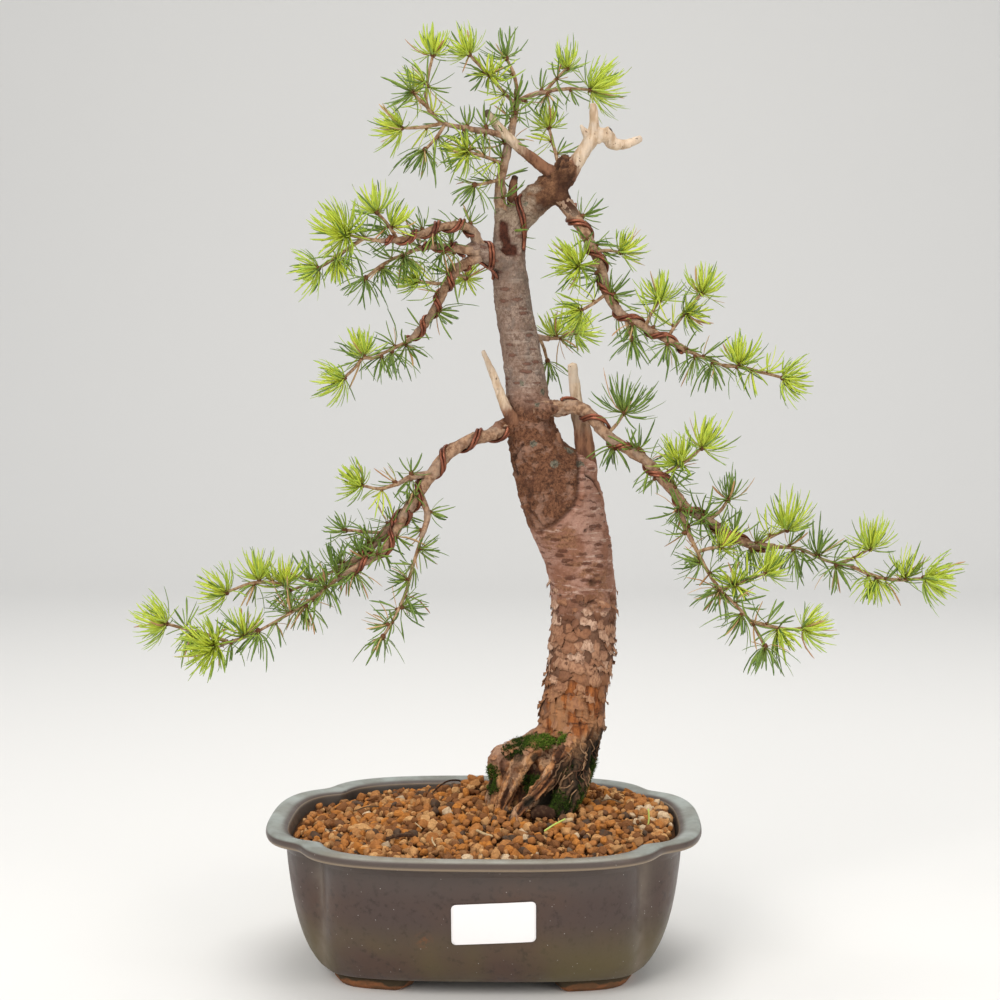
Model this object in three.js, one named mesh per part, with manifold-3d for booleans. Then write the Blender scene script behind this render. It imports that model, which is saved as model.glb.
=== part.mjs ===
// A european larch bonsai in its glazed four-lobed pot, built in millimetres, +Z up.
// The tree and pot are laid out round the pot's centre at table height, and the whole
// group is shifted at the end so that its origin is under the middle of its own box.

import * as THREE from 'three';
import { mergeVertices } from 'three/addons/utils/BufferGeometryUtils.js';
import Module from 'manifold-3d';

const wasm = await Module();
wasm.setup();

// Driving dimensions of the pot.
const POT_HALF_WIDTH = 129;
const POT_HALF_DEPTH = 103;
const POT_HEIGHT = 88;
const NOTCH_X = [[0, 102], [10, 90.5], [35, 88], [52, 72]];
const NOTCH_Y = 63;
const LOBE_POWER = 3;
const LOBE_ROUNDING = 0.45;
const NOTCH_Y_TAPER = 0.4;
const RIM_WIDTH = 13;
const FLOOR_HEIGHT = 14;
const FOOT_HEIGHT = 7;
const FOOT_ROOT = 3;
const DRAIN_RADIUS = 10;
const DRAIN_X = 42;

// Gap kept between pieces that touch on the real thing, and the little that is added to
// it where both faces are curved and cut into flats.
const SEAT_GAP = 0.3;
const FACET_ALLOWANCE = 0.1;

// Soil: a mound that rises to the trunk, with its grains as relief.
const SOIL_EDGE_HEIGHT = 82.5;
const SOIL_CREST_HEIGHT = 93;
const SOIL_CREST_X = 32;
const SOIL_CREST_Y = 18;
const SOIL_REACH_X = 105;
const SOIL_REACH_Y = 78;
const SOIL_SLOPE_POWER = 1.2;
const GRAIN_SPACING = 12.4;
const GRAIN_RELIEF = 5;
const GRAIN_SCATTER = 2.5;
const LEAST_GRAIN = 0.4;

// Bark, wire and needles.
const TRUNK_SIDES = 14;
const TRUNK_STEPS = 29;
const ROOT_SIDES = 7;
const ROOT_STEPS = 4;
const LIMB_SIDES = 5;
const LIMB_GNARL = 0.08;
const WIRE_RADIUS = 1.2;
const WIRE_CLEARANCE = 0.9;
const WIRE_STEPS_PER_TURN = 8;
const TWIG_RADIUS = 1;
const TWIG_SPAN = 16;
const SPUR_LENGTH = 1.8;

const vector = ([x, y, z]) => new THREE.Vector3(x, y, z);
const mix = THREE.MathUtils.lerp;

// A seeded draw, so that every build is the same.
function seededRandom(seed) {
  let state = seed;
  return () => {
    state = (state * 1664525 + 1013904223) % 4294967296;
    return state / 4294967296;
  };
}

function meshFrom(positions, triangles) {
  const geometry = new THREE.BufferGeometry();
  geometry.setAttribute('position', new THREE.Float32BufferAttribute(positions, 3));
  geometry.setIndex(triangles);
  return geometry;
}

function solidOf(geometry) {
  return new wasm.Manifold(new wasm.Mesh({
    numProp: 3,
    vertProperties: Float32Array.from(geometry.attributes.position.array),
    triVerts: Uint32Array.from(geometry.index.array),
  }));
}

// The largest single body of a solid: a loose scrap left by a cut is dropped.
function geometryOf(solid) {
  const bodies = solid.decompose().sort((a, b) => b.volume() - a.volume());
  const mesh = bodies[0].getMesh();
  return meshFrom(Array.from(mesh.vertProperties), Array.from(mesh.triVerts));
}

const fuse = (solids) => solids.reduce((whole, next) => whole.add(next));

// Rings of points, each with the same count, skinned into one closed body with a cap
// vertex at each end. The rings run anticlockwise seen from the last one, and each
// four-sided patch is split along its shorter diagonal.
function skinRings(rings, startTip, endTip) {
  const count = rings[0].length;
  const positions = [startTip, ...rings.flat(), endTip].flatMap((p) => [p.x, p.y, p.z]);
  const triangles = [];
  const at = (ring, k) => 1 + ring * count + (k % count);
  const last = rings.length - 1;
  const endIndex = 1 + rings.length * count;
  for (let k = 0; k < count; k += 1) {
    triangles.push(0, at(0, k + 1), at(0, k));
    triangles.push(endIndex, at(last, k), at(last, k + 1));
    for (let ring = 0; ring < last; ring += 1) {
      const next = (k + 1) % count;
      const [a, b, c, d] = [at(ring, k), at(ring, next), at(ring + 1, next), at(ring + 1, k)];
      const forward = rings[ring][k].distanceTo(rings[ring + 1][next]);
      const backward = rings[ring][next].distanceTo(rings[ring + 1][k]);
      if (forward <= backward) triangles.push(a, b, c, a, c, d);
      else triangles.push(a, b, d, b, c, d);
    }
  }
  return meshFrom(positions, triangles);
}

// A smooth path through stations [x, y, z, radius], with a frame carried along it
// that does not twist.
function layPath(stations, steps) {
  const curve = new THREE.CatmullRomCurve3(stations.map(vector), false, 'centripetal');
  const spans = stations.length - 1;
  const radiusAt = (t) => {
    const span = Math.min(Math.floor(t * spans), spans - 1);
    return mix(stations[span][3], stations[span + 1][3], t * spans - span);
  };
  const frames = [];
  let side = new THREE.Vector3(0, -1, 0);
  for (let step = 0; step <= steps; step += 1) {
    const t = step / steps;
    const along = curve.getTangent(t).normalize();
    side = side.clone().addScaledVector(along, -side.dot(along)).normalize();
    const up = along.clone().cross(side);
    frames.push({ centre: curve.getPoint(t), along, side, up, radius: radiusAt(t) });
  }
  return frames;
}

const around = (frame, angle, radius) => frame.centre.clone()
  .addScaledVector(frame.side, radius * Math.cos(angle))
  .addScaledVector(frame.up, radius * Math.sin(angle));

// A limb of wood: a tube with a flat start, a blunt pointed end and optional relief.
function limbGeometry(stations, sides, steps, relief = () => 0, growth = 0) {
  const frames = layPath(stations, steps);
  const rings = frames.map((frame, ring) => Array.from({ length: sides }, (_, k) => {
    const radius = frame.radius * (1 + relief(ring, k)) + growth;
    return around(frame, (2 * Math.PI * k) / sides, radius);
  }));
  const first = frames[0];
  const last = frames[frames.length - 1];
  const startTip = first.centre.clone().addScaledVector(first.along, -growth);
  const endTip = last.centre.clone().addScaledVector(last.along, last.radius + growth);
  return skinRings(rings, startTip, endTip);
}

// The pot's outline at an inward offset: four bowed lobes that meet at four notches.
// The notches move in fast across the lip, whose corners are wide, then little down the
// wall. NOTCH_X lists [offset, notch].
const OUTLINE_STEPS_FRONT = 10;
const OUTLINE_STEPS_SIDE = 8;
const bow = (u) => (1 - Math.abs(u) ** LOBE_POWER) ** LOBE_ROUNDING;

function readTable(table, key) {
  const next = Math.max(1, table.findIndex(([at]) => at >= key));
  const [start, valueAtStart] = table[next - 1];
  const [end, valueAtEnd] = table[next];
  return mix(valueAtStart, valueAtEnd, (key - start) / (end - start));
}

function lobe(offset) {
  const notchX = readTable(NOTCH_X, offset);
  const notchY = NOTCH_Y - NOTCH_Y_TAPER * offset;
  return {
    notchX,
    notchY,
    bowX: POT_HALF_WIDTH - offset - notchX,
    bowY: POT_HALF_DEPTH - offset - notchY,
  };
}

function potOutline(offset, height) {
  const { notchX, notchY, bowX, bowY } = lobe(offset);
  const points = [];
  const sweep = (steps, place) => {
    for (let k = 0; k < steps; k += 1) points.push(place(Math.sin((k / steps - 0.5) * Math.PI)));
  };
  sweep(OUTLINE_STEPS_FRONT, (u) => new THREE.Vector3(notchX * u, -notchY - bowY * bow(u), height));
  sweep(OUTLINE_STEPS_SIDE, (u) => new THREE.Vector3(notchX + bowX * bow(u), notchY * u, height));
  sweep(OUTLINE_STEPS_FRONT, (u) => new THREE.Vector3(-notchX * u, notchY + bowY * bow(u), height));
  sweep(OUTLINE_STEPS_SIDE, (u) => new THREE.Vector3(-notchX - bowX * bow(u), -notchY * u, height));
  return points;
}

// The wall's two faces as [inward offset, height], from the foot up.
const OUTER_WALL = [[43, 7], [31.5, 10], [23, 21], [16.8, 40], [12.2, 70], [7, 81]];
const RIM_EDGE = [[0, 83.4], [0, 86.4], [1.6, POT_HEIGHT]];
const INNER_WALL = [[RIM_WIDTH, 85.5], [20, 58], [34, 28], [46, FLOOR_HEIGHT]];

const centreAt = (height) => new THREE.Vector3(0, 0, height);

const wallOffsetAt = (height) => readTable(OUTER_WALL.map(([offset, z]) => [z, offset]), height);

function cylinderSolid(radius, height, sides, x, y, z) {
  const ring = (level) => Array.from({ length: sides }, (_, k) => {
    const angle = (2 * Math.PI * k) / sides;
    return new THREE.Vector3(x + radius * Math.cos(angle), y + radius * Math.sin(angle), level);
  });
  const bottom = new THREE.Vector3(x, y, z);
  return solidOf(skinRings([ring(z), ring(z + height)], bottom, bottom.clone().setZ(z + height)));
}

// Pot: walls, lip, four bracket feet and two drain holes, fired as one piece.
const FOOT_OUTER_OFFSET = 40;
const FOOT_INNER_OFFSET = 52;
const FOOT_CUT_X = 45;
const FOOT_CUT_Y = 22;
const FOOT_BEVEL = 3;
const DRAIN_DEPTH = 40;
const DRAIN_SIDES = 12;

function blockSolid(halfX, halfY, bottom, top) {
  const ring = (z) => [[1, -1], [1, 1], [-1, 1], [-1, -1]]
    .map(([sx, sy]) => new THREE.Vector3(sx * halfX, sy * halfY, z));
  return solidOf(skinRings([ring(bottom), ring(top)], centreAt(bottom), centreAt(top)));
}

function potSolid() {
  const rings = [...OUTER_WALL, ...RIM_EDGE, ...INNER_WALL].map(([offset, z]) => potOutline(offset, z));
  const body = solidOf(skinRings(rings, centreAt(OUTER_WALL[0][1]), centreAt(FLOOR_HEIGHT)));
  const footTop = FOOT_HEIGHT + FOOT_ROOT;
  const footLevels = [
    [FOOT_OUTER_OFFSET + FOOT_BEVEL, 0], [FOOT_OUTER_OFFSET, FOOT_BEVEL], [FOOT_OUTER_OFFSET, footTop]];
  const footBand = solidOf(skinRings(
    footLevels.map(([offset, z]) => potOutline(offset, z)), centreAt(0), centreAt(footTop)));
  const footHollow = solidOf(skinRings(
    [potOutline(FOOT_INNER_OFFSET, -1), potOutline(FOOT_INNER_OFFSET, FOOT_HEIGHT)],
    centreAt(-1), centreAt(FOOT_HEIGHT)));
  const feet = footBand.subtract(footHollow)
    .subtract(blockSolid(FOOT_CUT_X, POT_HALF_DEPTH, -1, FOOT_HEIGHT))
    .subtract(blockSolid(POT_HALF_WIDTH, FOOT_CUT_Y, -1, FOOT_HEIGHT));
  const drains = [-DRAIN_X, DRAIN_X]
    .map((x) => cylinderSolid(DRAIN_RADIUS, DRAIN_DEPTH, DRAIN_SIDES, x, 0, -FLOOR_HEIGHT));
  return drains.reduce((pot, drain) => pot.subtract(drain), body.add(feet));
}

// Drain meshes: a thin plastic square over each hole, under the soil.
const MESH_HALF = 15;
const MESH_THICKNESS = 1.2;

function drainMeshSolid(x) {
  const bottom = FLOOR_HEIGHT + SEAT_GAP;
  return blockSolid(MESH_HALF, MESH_HALF, bottom, bottom + MESH_THICKNESS).translate([x, 0, 0]);
}

// Label: a blank rounded card that follows the bowed front wall.
const LABEL_CENTRE_X = 8;
const LABEL_WIDTH = 47;
const LABEL_BOTTOM = 36.8;
const LABEL_TOP = 60.8;
const LABEL_THICKNESS = 0.5;
const LABEL_CORNER = 2.5;
const LABEL_TILT = 0.05;
const LABEL_CORNER_SHARE = 0.7;

function labelGeometry() {
  const columns = [0, LABEL_CORNER, LABEL_WIDTH / 2, LABEL_WIDTH - LABEL_CORNER, LABEL_WIDTH];
  const rows = [LABEL_BOTTOM, LABEL_BOTTOM + LABEL_CORNER, LABEL_TOP - LABEL_CORNER, LABEL_TOP];
  const wallPoint = (across, z, lift) => {
    const x = LABEL_CENTRE_X - LABEL_WIDTH / 2 + across;
    const level = z + LABEL_TILT * (x - LABEL_CENTRE_X);
    const { notchX, notchY, bowY } = lobe(wallOffsetAt(level));
    return new THREE.Vector3(x, -notchY - bowY * bow(x / notchX) - lift, level);
  };
  const lastColumn = columns.length - 1;
  const roundCorner = (column, row) => {
    const isEnd = row === 0 || row === rows.length - 1;
    if (column === 0) return isEnd ? LABEL_CORNER_SHARE * LABEL_CORNER : 0;
    if (column === lastColumn) return LABEL_WIDTH - (isEnd ? LABEL_CORNER_SHARE * LABEL_CORNER : 0);
    return columns[column];
  };
  const cardBack = SEAT_GAP + FACET_ALLOWANCE;
  const layers = [cardBack, cardBack + LABEL_THICKNESS];
  const positions = layers.flatMap((lift) => rows.flatMap((z, row) => columns
    .flatMap((_, column) => wallPoint(roundCorner(column, row), z, lift).toArray())));
  const width = columns.length;
  const height = rows.length;
  const back = (row, column) => row * width + column;
  const front = (row, column) => height * width + back(row, column);
  const triangles = [];
  const quad = (a, b, c, d) => triangles.push(a, b, c, a, c, d);
  for (let row = 0; row < height - 1; row += 1) {
    for (let column = 0; column < width - 1; column += 1) {
      quad(front(row, column), front(row, column + 1), front(row + 1, column + 1), front(row + 1, column));
      quad(back(row, column), back(row + 1, column), back(row + 1, column + 1), back(row, column + 1));
    }
    quad(back(row, 0), front(row, 0), front(row + 1, 0), back(row + 1, 0));
    quad(front(row, width - 1), back(row, width - 1), back(row + 1, width - 1), front(row + 1, width - 1));
  }
  for (let column = 0; column < width - 1; column += 1) {
    quad(back(0, column), back(0, column + 1), front(0, column + 1), front(0, column));
    quad(front(height - 1, column), front(height - 1, column + 1),
      back(height - 1, column + 1), back(height - 1, column));
  }
  return meshFrom(positions, triangles);
}

// Trunk: its centre line and half-width, from below the soil to the bend at the top.
const TRUNK = [
  [29, 15, 67, 22], [34, 19, 87, 23], [40, 23, 101, 22], [46, 27, 115, 20.8], [51, 30, 129, 20.2],
  [54, 31, 151, 20], [58, 32, 177, 20], [60, 34, 201, 19.8], [59, 34, 223, 20.2], [56, 34, 241, 21.4],
  [50, 34, 261, 24.4], [46, 34, 275, 25.4], [40, 33, 289, 23.5], [32, 32, 303, 17.5], [27, 31, 321, 14.8],
  [24, 29, 347, 12.8], [20, 27, 373, 12], [16, 25, 399, 11.2], [14, 22, 425, 10.8], [17, 20, 442, 10],
  [27, 20, 452, 9.6], [40, 20, 463, 9], [47, 20, 471, 8.4],
];

// Roots that flare from the trunk's foot and dive into the soil.
const ROOTS = [
  [[38, 24, 128, 11], [23, 18, 123, 8.5], [9, 14, 119, 6], [8, 11, 108, 6.5], [6, 8, 95, 6.5], [3, 5, 83, 4]],
  [[38, 18, 126, 9], [25, 11, 121, 6.5], [18, 5, 110, 5.5], [13, 1, 98, 5], [8, -4, 84, 4]],
  [[40, 26, 128, 10], [27, 18, 122, 9], [16, 15, 114, 8], [9, 13, 100, 7]],
  [[52, 14, 132, 7], [46, 4, 122, 6], [38, -6, 111, 5], [30, -13, 102, 4.6], [22, -18, 95, 4.2],
    [16, -22, 84, 3]],
  [[56, 15, 126, 9], [54, 4, 110, 9], [48, -4, 98, 8], [42, -11, 88, 6.5], [38, -15, 80, 4]],
  [[55, 30, 122, 9], [53, 36, 104, 8], [54, 44, 92, 6], [56, 52, 80, 4]],
  [[44, 40, 126, 10], [38, 52, 106, 8], [32, 64, 90, 5.5], [28, 72, 80, 4]],
  [[34, 34, 122, 9], [20, 40, 104, 7.5], [8, 46, 90, 5], [0, 50, 80, 3.5]],
];

// Dead and bare wood that grew with the trunk: horn, broken stubs and blades.
const DEADWOOD = [
  [[48, 20, 470, 8], [54, 19, 477, 4.6], [60, 19, 486, 4.3], [65, 19, 492.5, 4.6], [73, 19, 492.5, 3],
    [78, 21, 487, 2.3], [85.5, 23, 489.4, 2], [91, 25, 491.6, 1.6]],
  [[66, 19, 492, 3.6], [71, 18, 494, 3.2], [74, 17, 496, 3]],
  [[62, 19, 490, 3.4], [59, 18, 495, 2.2], [56.6, 17, 498.6, 0.8]],
  [[64, 19, 492, 4.2], [64.5, 18, 500, 2.9], [64.2, 17, 506, 2.7], [63.5, 16, 511, 2.4]],
  [[42, 20, 470, 5.5], [36, 18, 473, 4], [25, 16, 481, 2.9], [16, 14, 488.5, 2.6], [6.4, 11, 498.7, 2.2],
    [2, 9.5, 504, 1.8]],
  [[19, 20, 446, 4.5], [16, 18, 456, 3.6], [16.6, 18, 462, 3], [17.7, 18, 469, 2]],
  [[20, 24, 320, 6], [13, 16, 331, 3.6], [6, 16, 348, 2.8], [-2, 16, 366, 1.4]],
  [[54, 32, 281, 11], [60, 31, 290, 8], [60, 30, 302, 6.4], [57.5, 30, 316, 5], [54.6, 30, 336, 3.4],
    [52, 30, 357, 2.6]],
  [[30, 28, 329, 8], [34, 19, 330, 6.4], [37, 14, 330, 5]],
  [[58, 30, 211, 14], [68, 20, 211, 9], [72, 16, 212, 6]],
];

// Living branches, bare as far as their foliage: centre line and radius.
const BRANCHES = {
  lowerLeft: [[24, 28, 321, 6], [13, 22, 319, 4.4], [2, 12, 315, 3.8], [-10, 4, 312, 3.6],
    [-24, -2, 302, 3.6], [-35, -8, 287, 3.6], [-48, -14, 268, 3.2], [-58, -16, 259, 2.8],
    [-71, -20, 246, 2.4], [-84, -22, 239, 1.9]],
  lowerLeftFork: [[-44, -13, 274, 2.8], [-50, -20, 262, 2.6], [-59, -29, 249, 2.3], [-71, -34, 242, 2],
    [-84, -36, 234, 1.7]],
  lowerLeftHanger: [[-38, -10, 281, 2.2], [-33, -13, 270, 1.9], [-36, -19, 257, 1.5]],
  lowerLeftSide: [[-31, -5, 293, 2.4], [-42, -14, 292, 1.8], [-50, -23, 288, 1.3]],
  lowerRight: [[30, 22, 331, 5.4], [44, 19, 331, 4.8], [54, 15, 332, 4.2], [64, 8, 326, 3.8],
    [72, 0, 316, 3.4], [84, -6, 308, 3.2], [95, -12, 301, 3], [103, -16, 292, 3], [112, -20, 282, 2.9],
    [120, -22, 273, 2.8], [131, -24, 267, 2.6], [143, -26, 259, 2.4], [155, -28, 254, 2.2],
      [168, -30, 253, 1.9]],
  lowerRightDrop: [[113, -20, 281, 2.2], [115, -29, 269, 1.9], [120, -37, 257, 1.5]],
  upperRight: [[40, 20, 463, 5], [50, 15, 449, 4.2], [57, 10, 438, 3.4], [63, 5, 427, 3], [69, 1, 413, 2.8],
    [72, -1, 399, 2.7], [79, -5, 388, 2.6], [92, -9, 380, 2.4], [106, -14, 372, 2.1],
      [119, -18, 365, 1.7]],
  back: [[18, 28, 378, 3.4], [26, 42, 375, 2.2], [38, 52, 373, 1.6]],
  upperLeftBoss: [[15, 21, 418, 8.5], [3, 12, 422, 7], [-8, 3, 426, 5]],
  upperLeftFront: [[-3, 8, 427, 3.6], [-9, -2, 437, 2.6], [-24, -14, 437, 2.2], [-38, -26, 431, 2],
    [-48, -35, 428, 1.7], [-57, -43, 427, 1.4]],
  upperLeftBack: [[-4, 4, 424, 3.4], [-16, -2, 425, 2.4], [-28, -10, 426, 1.9], [-38, -17, 424, 1.5]],
  middleLeft: [[-3, 6, 421, 3.6], [-14, 4, 415, 2.9], [-22, 6, 405, 2.6], [-28, 8, 393, 2.4],
    [-36, 6, 380, 2.1], [-45, 2, 371, 1.8]],
  leader: [[11, 18, 425, 5], [10, 14, 440, 4.2], [9, 13, 452, 3.6], [9, 13, 464, 3], [14, 12, 486, 2.4],
    [18, 13, 507, 1.9], [19, 14, 519, 1.7]],
  apexRight: [[18, 13, 511, 1.7], [27, 16, 516, 1.5], [42, 21, 520, 1.2]],
  apexLeft: [[15, 12, 490, 2], [3, 1, 493, 1.7], [-10, -6, 494, 1.5], [-24, -13, 496, 1.2]],
};

const BARK_RELIEF_LOW = 0.08;
const BARK_RELIEF_HIGH = 0.025;
const FLAKY_SHARE = 0.45;
const BARK_SEED = 11;
const LIMB_SEED = 12;

function trunkSolid() {
  const random = seededRandom(BARK_SEED);
  const relief = (ring) => {
    const depth = mix(BARK_RELIEF_LOW, BARK_RELIEF_HIGH, Math.min(1, ring / (FLAKY_SHARE * TRUNK_STEPS)));
    return depth * (2 * random() - 1);
  };
  const roughness = seededRandom(LIMB_SEED);
  const gnarl = () => LIMB_GNARL * (2 * roughness() - 1);
  return fuse([
    solidOf(limbGeometry(TRUNK, TRUNK_SIDES, TRUNK_STEPS, relief)),
    ...ROOTS.map((root) => solidOf(limbGeometry(root, ROOT_SIDES, ROOT_STEPS, gnarl))),
    ...DEADWOOD.map((limb) => solidOf(limbGeometry(limb, LIMB_SIDES, limb.length - 1, gnarl))),
    ...Object.values(BRANCHES).map((limb) => solidOf(limbGeometry(limb, LIMB_SIDES, limb.length - 1))),
  ]);
}

// The room that the trunk's foot and roots take in the soil, grown by their relief and
// the seat gap.
const FOOT_STATIONS = 4;

function footRoom() {
  const foot = TRUNK.slice(0, FOOT_STATIONS);
  const widest = (stations) => Math.max(...stations.map((station) => station[3]));
  const barkRoom = SEAT_GAP + FACET_ALLOWANCE + BARK_RELIEF_LOW * widest(foot);
  const rootRoom = SEAT_GAP + FACET_ALLOWANCE + LIMB_GNARL * widest(ROOTS.flat());
  return fuse([
    solidOf(limbGeometry(foot, TRUNK_SIDES, FOOT_STATIONS, undefined, barkRoom)),
    ...ROOTS.map((root) => solidOf(limbGeometry(root, ROOT_SIDES, ROOT_STEPS, undefined, rootRoom))),
  ]);
}

// Soil: the filled inside of the pot under a lattice of raised grains.
const GRAIN_SEED = 23;
const ROW_SHARE = Math.sqrt(3) / 2;

function soilSolid() {
  const random = seededRandom(GRAIN_SEED);
  const columns = Math.ceil((2 * POT_HALF_WIDTH) / GRAIN_SPACING) + 1;
  const rowPitch = GRAIN_SPACING * ROW_SHARE;
  const scatter = () => GRAIN_SCATTER * (random() - 0.5);
  const rows = Math.ceil((2 * POT_HALF_DEPTH) / rowPitch) + 1;
  const moundAt = (x, y) => {
    const far = Math.min(1, Math.hypot((x - SOIL_CREST_X) / SOIL_REACH_X, (y - SOIL_CREST_Y) / SOIL_REACH_Y));
    return mix(SOIL_CREST_HEIGHT, SOIL_EDGE_HEIGHT, far ** SOIL_SLOPE_POWER);
  };
  const positions = [];
  for (let row = 0; row < rows; row += 1) {
    for (let column = 0; column < columns; column += 1) {
      const x = -POT_HALF_WIDTH + (column + (row % 2) / 2) * GRAIN_SPACING + scatter();
      const y = -POT_HALF_DEPTH + row * rowPitch + scatter();
      positions.push(x, y, moundAt(x, y) + GRAIN_RELIEF * (random() - LEAST_GRAIN));
    }
  }
  const triangles = [];
  const at = (row, column) => row * columns + column;
  for (let row = 0; row < rows - 1; row += 1) {
    for (let column = 0; column < columns - 1; column += 1) {
      const [a, b] = [at(row, column), at(row, column + 1)];
      const [c, d] = [at(row + 1, column + 1), at(row + 1, column)];
      if (row % 2) triangles.push(a, b, c, a, c, d);
      else triangles.push(a, b, d, b, c, d);
    }
  }
  const border = [];
  for (let column = 0; column < columns - 1; column += 1) border.push(at(0, column));
  for (let row = 0; row < rows - 1; row += 1) border.push(at(row, columns - 1));
  for (let column = columns - 1; column > 0; column -= 1) border.push(at(rows - 1, column));
  for (let row = rows - 1; row > 0; row -= 1) border.push(at(row, 0));
  const skirt = positions.length / 3;
  border.forEach((top) => positions.push(positions[3 * top], positions[3 * top + 1], 0));
  const foot = positions.length / 3;
  positions.push(0, 0, 0);
  border.forEach((top, k) => {
    const next = (k + 1) % border.length;
    triangles.push(top, skirt + k, skirt + next, top, skirt + next, border[next]);
    triangles.push(foot, skirt + next, skirt + k);
  });
  const grains = solidOf(meshFrom(positions, triangles));
  const wallRoom = SEAT_GAP + 3 * FACET_ALLOWANCE;
  const fillLevels = [...INNER_WALL].reverse().map(([offset, z]) => potOutline(offset + wallRoom, z));
  const base = FLOOR_HEIGHT + SEAT_GAP;
  fillLevels[0].forEach((point) => point.setZ(base));
  const aboveMound = SOIL_CREST_HEIGHT + 2 * GRAIN_RELIEF;
  fillLevels.push(potOutline(RIM_WIDTH + wallRoom, aboveMound));
  const inside = solidOf(skinRings(fillLevels, centreAt(base), centreAt(aboveMound)));
  const meshRooms = [-DRAIN_X, DRAIN_X].map((x) => {
    const half = MESH_HALF + SEAT_GAP;
    return blockSolid(half, half, base - 1, base + MESH_THICKNESS + SEAT_GAP).translate([x, 0, 0]);
  });
  return [...meshRooms, footRoom()].reduce((soil, room) => soil.subtract(room), inside.intersect(grains));
}

// Copper wires, wound round the bare branches between the side shoots.
const WIRES = [
  { name: 'wire_lower_left', stations: BRANCHES.lowerLeft, from: 0.16, to: 0.64, turns: 6, phase: 0 },
  { name: 'wire_lower_right', stations: BRANCHES.lowerRight, from: 0.2, to: 0.6, turns: 6, phase: 0 },
  { name: 'wire_upper_right', stations: BRANCHES.upperRight, from: 0.15, to: 0.8, turns: 6, phase: 0 },
  { name: 'wire_middle_left', stations: BRANCHES.middleLeft, from: 0.35, to: 0.9, turns: 4, phase: 0 },
  { name: 'wire_upper_left', stations: BRANCHES.upperLeftFront, from: 0.42, to: 0.78, turns: 3, phase: 0 },
];
const WIRE_SAMPLES = 400;

function wirePoints({ stations, from, to, turns, phase }) {
  const steps = turns * WIRE_STEPS_PER_TURN;
  const frames = layPath(stations, WIRE_SAMPLES);
  return Array.from({ length: steps + 1 }, (_, k) => {
    const frame = frames[Math.round(mix(from, to, k / steps) * WIRE_SAMPLES)];
    const radius = frame.radius + WIRE_RADIUS + WIRE_CLEARANCE;
    const point = around(frame, phase + (2 * Math.PI * turns * k) / steps, radius);
    return [...point.toArray(), WIRE_RADIUS];
  });
}

const wireSolid = (points) => solidOf(limbGeometry(points, 4, points.length - 1));

// Foliage. Each spray is a slim twig, [x, y, z] from the wood outwards, with heads of
// needles: [fraction of the twig, needles, length, spread in degrees, direction].
// A head at 1 ends the twig, and any other sits on its side.
const UP = [0.1, -0.3, 1];
const DOWN = [0, -0.3, -1];
const FRONT = [0, -1, 0.2];
const BACK = [0, 1, 0.2];

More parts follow.
